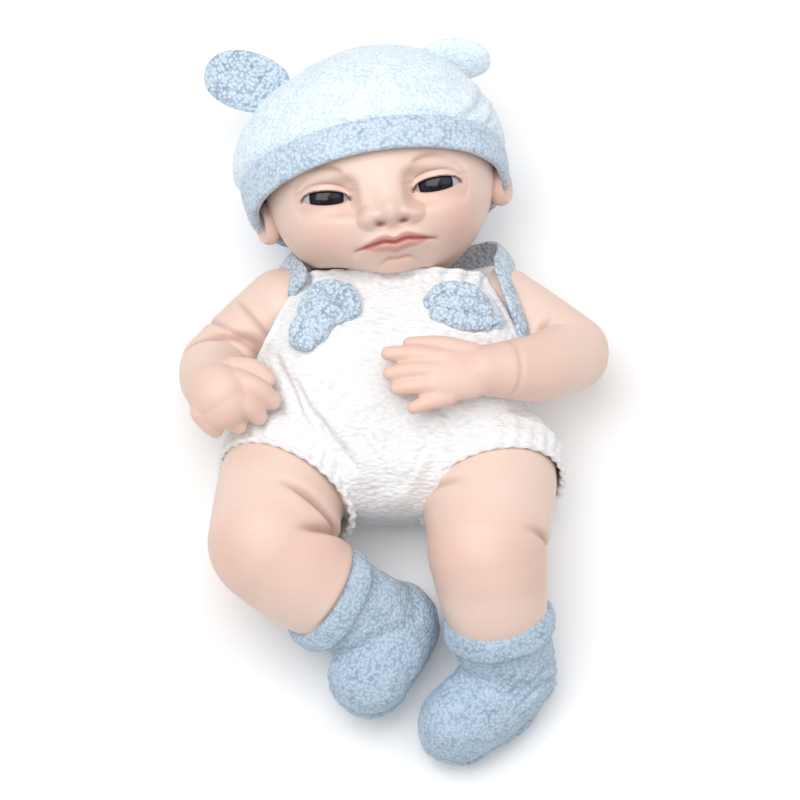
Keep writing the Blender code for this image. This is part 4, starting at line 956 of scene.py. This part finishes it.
romper, hem = makeRomper()
standIn(hem, "torso", "white_terry", "romper")
standIn(romper, "torso", "white_terry", "romper")
sleeves = {
    "left": {"side": 1, "hipAt": (42, -38, 35), "towards": (39.5, -74, 53), "reach": (15.0, 9.4, 0.5)},
    "right": {"side": -1, "hipAt": (-42, -38, 35), "towards": (-48.5, -72, 52), "reach": (15.0, 9.0, 0.5)},
}
for label, shape in sleeves.items():
    sleeve, d = makeSleeve(f"romperSleeve{label.capitalize()}", **shape)
    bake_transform(sleeve)
    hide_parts(f"romper_leg_{label}", f"romper_leg_band_{label}")

strapPaths = {  # from behind the neck to the bib, and on the left down the armhole
    "left": ((0, 55, 8), (16, 57, 8), (32, 61, 12), (46, 60, 24), (48.5, 52, 40), (46.5, 42, 54),
             (49, 30, 61.5), (54, 16, 60), (58.5, 3, 51)),
    "right": ((0, 55, 8), (-16, 56, 8), (-31, 58, 12), (-45, 55, 24), (-45.5, 49, 38),
              (-41, 40, 53), (-40, 33, 60)),
}
strapSection = {"halfWidth": 6.0, "thick": 1.5, "normalTo": (0, 12, 34)}  # the body's middle
for label, path in strapPaths.items():
    strap = makePiece(f"romperStrap{label.capitalize()}", [ribbonGrid(path, **strapSection)], knotTerry)
    standIn(strap, "torso", "blue_terry", f"romper_strap_{label}")


def makeKnot(name, tubes, seed):
    # plump tubes of terry wound over each other, roughened by noise in two sizes
    grids = [tubeGrid(tube, cols=48, steps=16, guide=(0.1, 0.2, 1), flat=0.8) for tube in tubes]
    knot = makePiece(name, grids, knotTerry)
    points, normals = readPoints(knot), readVectors(knot, "normal")
    rough = 0.6 * softNoise(points, 2.6, seed) + 0.6 * softNoise(points, 6, seed + 1)
    writePoints(knot, points + normals * rough[:, None])
    return knot


knotShapes = {
    "right": (((-34.5, 25.5, 67, 3.8), (-29.5, 29, 67.5, 4.4), (-21.5, 27.5, 69.5, 5.0),
               (-17.8, 21.5, 70.5, 5.2), (-23, 18, 70.5, 4.6)),
              ((-36, 21.5, 68, 4.0), (-29.5, 21.5, 72.5, 4.4), (-23.5, 19.5, 72, 3.6)),
              ((-27, 20.5, 70.5, 5.2), (-31, 13.5, 72, 6.4), (-36.5, 6.5, 71, 5.0)),
              ((-34, 18.5, 69, 4.8), (-38, 11, 69.5, 4.8), (-39.5, 7, 69, 3.8))),
    "left": (((16.5, 23.5, 68.5, 4.0), (21.5, 27.5, 68.5, 4.6), (30.5, 28, 67, 4.8), (37, 23.5, 65.5, 4.2)),
             ((19, 19, 70.5, 4.2), (27, 15.5, 71, 4.4), (36.5, 14.5, 68, 4.2), (43, 16.5, 65, 3.2)),
             ((21, 22.5, 72, 3.8), (30, 21.5, 72, 4.2), (38.5, 20, 68.5, 3.4))),
}
for label, tubes in knotShapes.items():
    knot = makeKnot(f"romperKnot{label.capitalize()}", tubes, 51)
    standIn(knot, "torso", "blue_terry", f"romper_knot_{label}")
print("romper made")


# booties

bootShapes = {
    "left": {
        "ankle": ((43.2, -103, 40, 17), (45, -109, 34.5, 20.6), (49, -120, 23, 18.6)),
        "foot": ((50.5, -123, 19.2, 18.2), (39, -136, 19.6, 18.6), (27.5, -144.5, 18.6, 17.2)),
        "cuffAt": (44.2, -105.5, 37.8), "cuffAxis": (0.14, -0.72, -0.68), "cuffRadius": 20.6,
        "ribs": (54, -128, 24), "ribsOut": (0.9, -0.2, 0.4)},
    "right": {
        "ankle": ((-30, -94, 42, 16), (-24.5, -97.5, 39, 20.4), (-8, -101.5, 29, 18.6)),
        "foot": ((1.5, -103, 23.8, 17.6), (-5, -116, 27.6, 18), (-10, -127, 29.4, 16.6)),
        "cuffAt": (-26.8, -96.2, 40.8), "cuffAxis": (0.78, -0.36, -0.52), "cuffRadius": 20.4,
        "ribs": (-22, -118, 32), "ribsOut": (-0.9, 0.1, 0.4)},
}


def makeBootie(name, shape, seed):
    # ankle and foot tubes fused into one sock, with a raised sole band (bells of the height over the sole),
    # sine ribs 3.2 mm apart up one side, and noise in two sizes
    ankle = tubeGrid(shape["ankle"], guide=(0.1, 0.4, 1))
    boot = makePiece(name, [ankle, tubeGrid(shape["foot"], guide=(0.05, 0.2, 1), flat=0.9)])
    fuse(boot, 0.95, 8)
    setMaterial(boot, bootTerry)
    points, normals = readPoints(boot), readVectors(boot, "normal")
    heel, toe = (np.array(shape["foot"][k][:3]) for k in (0, 2))
    run = unit(toe - heel)
    footShare = (points - heel) @ run
    soleLine = heel[2] + (toe[2] - heel[2]) * np.clip(footShare / norm(toe - heel), 0, 1)
    height = points[:, 2] - soleLine
    onFoot = fade(-16, -6, footShare)
    sole = 1.9 * bell(height + 6.5, 2.6, 1.6) - 1.6 * bell(height + 2.6, 0.9) - 0.9 * bell(height + 11.5, 0.8)
    ribWindow = fade(22, 12, norm(points - shape["ribs"], axis=1))
    ribWindow = ribWindow * fade(0.1, 0.5, normals @ unit(shape["ribsOut"]))
    ribs = 0.55 * np.sin(math.tau * (points @ unit(np.cross(run, (0, 0, 1)))) / 3.2) * ribWindow
    rough = 1.1 * softNoise(points, 11, seed) + 0.5 * softNoise(points, 4, seed + 1)
    writePoints(boot, overFloor(points + normals * (sole * onFoot + ribs + rough)[:, None]))
    return boot


def makeCuff(name, shape, seed):
    # a rolled collar: a superellipse 10.8 mm tall and 5.2 mm thick carried round the ankle
    axis = unit(shape["cuffAxis"])
    across = unit(np.cross(axis, (0, 0, 1)))
    over = np.cross(axis, across)
    turn = fullTurn(200)
    beta = np.linspace(0, math.tau, 40)[:, None]
    high = signedPower(np.sin(beta), 0.6) * 5.4
    thick = signedPower(np.cos(beta), 0.75) * 2.6
    radial = np.cos(turn)[..., None] * across + np.sin(turn)[..., None] * over
    radius = shape["cuffRadius"] + thick + 0.10 * high + 0 * turn
    grid = shape["cuffAt"] + radius[..., None] * radial + high[..., None] * axis
    grid = grid + radial * (0.8 * softNoise(grid, 8, seed) + 0.35 * softNoise(grid, 3.5, seed + 1))[..., None]
    grid = grid + axis * (0.9 * softNoise(grid, 13, seed + 2))[..., None]
    overFloor(grid)
    grid[-1] = grid[0]
    return makePiece(name, [grid], bootTerry)


for label, shape in bootShapes.items():
    bootieName = f"bootie{label.capitalize()}"
    boot, cuff = makeBootie(bootieName, shape, 61), makeCuff(f"bootieCuff{label.capitalize()}", shape, 71)
    standIn(boot, f"{label}_leg", "blue_terry", f"{label}_bootie")
    standIn(cuff, f"{label}_leg", "blue_terry", f"{label}_bootie_cuff")
print("booties made")


# CAD nodes that stay

finishes = {  # colour, roughness, metallic, and words in its nodes' names: the first finish that fits is used
    "nickelPlatedSteel": ("#b9b9bd", 0.28, 1.0, ("screw", "spring", "cell", "magnet", "speaker_frame")),
    "mouldedBodyPlastic": ("#efcdbb", 0.5, 0.0, ("torso_front", "torso_back", "neck_plug", "battery_door")),
    "greyAcetal": ("#8a8a8e", 0.4, 0.0, ("tummy_button", "eye_cup", "knob")),
    "blackAbs": ("#17171a", 0.42, 0.0, ("switch", "chip", "tray", "power_switch_body")),
    "solderMask": ("#14522c", 0.45, 0.0, ("circuit_board",)),
    "pressedPaper": ("#24211e", 0.85, 0.0, ("speaker_cone",)),
}
made = {name: mouldedPlastic(name, *finish[:3]) for name, finish in finishes.items()}
for node, piece in frame["nodes"].items():
    if not piece.hide_render:
        fits = [name for name, finish in finishes.items() if any(word in node for word in finish[3])]
        setMaterial(piece, made[fits[0]])


# floor, light and camera

studio = {"floor": "#ffffff", "floorHalf": 3, "floorZ": -0.0003, "worldStrength": 0.52,
          "lampAim": (0, 0, 0.04), "lens": 135.0, "distance": 1.26, "elevation": 75.0,
          "target": (2.94, -13.4, 50.0)}
floorMesh = bpy.data.meshes.new("studioFloor")
signs = ((-1, -1), (1, -1), (1, 1), (-1, 1))
floorCorners = [(x * studio["floorHalf"], y * studio["floorHalf"], studio["floorZ"]) for x, y in signs]
floorMesh.from_pydata(floorCorners, [], [(0, 1, 2, 3)])
floor = bpy.data.objects.new("studioFloor", floorMesh)
linkObject(floor)
paper = newMaterial("paperBackdrop", Roughness=0.9, Base_Color=toLinear(studio["floor"]))[0]  # matt white
floorMesh.materials.append(paper)

world = bpy.data.worlds.new("studioWorld")
bpy.context.scene.world = world
world.use_nodes = True
background = world.node_tree.nodes["Background"]
background.inputs["Color"].default_value = (1, 1, 1, 1)
background.inputs["Strength"].default_value = studio["worldStrength"]
for name, place, size, power in (
        ("keyLight", (-0.25, 0.05, 1.2), 0.8, 9.0), ("fillLight", (0.5, 0.2, 1.1), 0.8, 2.5)):
    lamp = bpy.data.lights.new(name, "AREA")
    lamp.size, lamp.energy = size, power
    light = bpy.data.objects.new(name, lamp)
    light.location = place
    light.rotation_euler = (Vector(studio["lampAim"]) - Vector(place)).to_track_quat("-Z", "Y").to_euler()
    linkObject(light)

lens = bpy.data.cameras.new("camera")
lens.lens, lens.sensor_width = studio["lens"], 36.0
camera = bpy.data.objects.new("camera", lens)
tilt = math.radians(studio["elevation"])
back = Vector((0, -math.cos(tilt), math.sin(tilt)))
target = Vector((np.array(studio["target"]) + dollShift) * mm)
camera.location = target + back * studio["distance"]
camera.rotation_euler = (-back).to_track_quat("-Z", "Y").to_euler()
linkObject(camera)
bpy.context.scene.camera = camera
bpy.context.scene.view_settings.view_transform = "Standard"
print("studio ready")
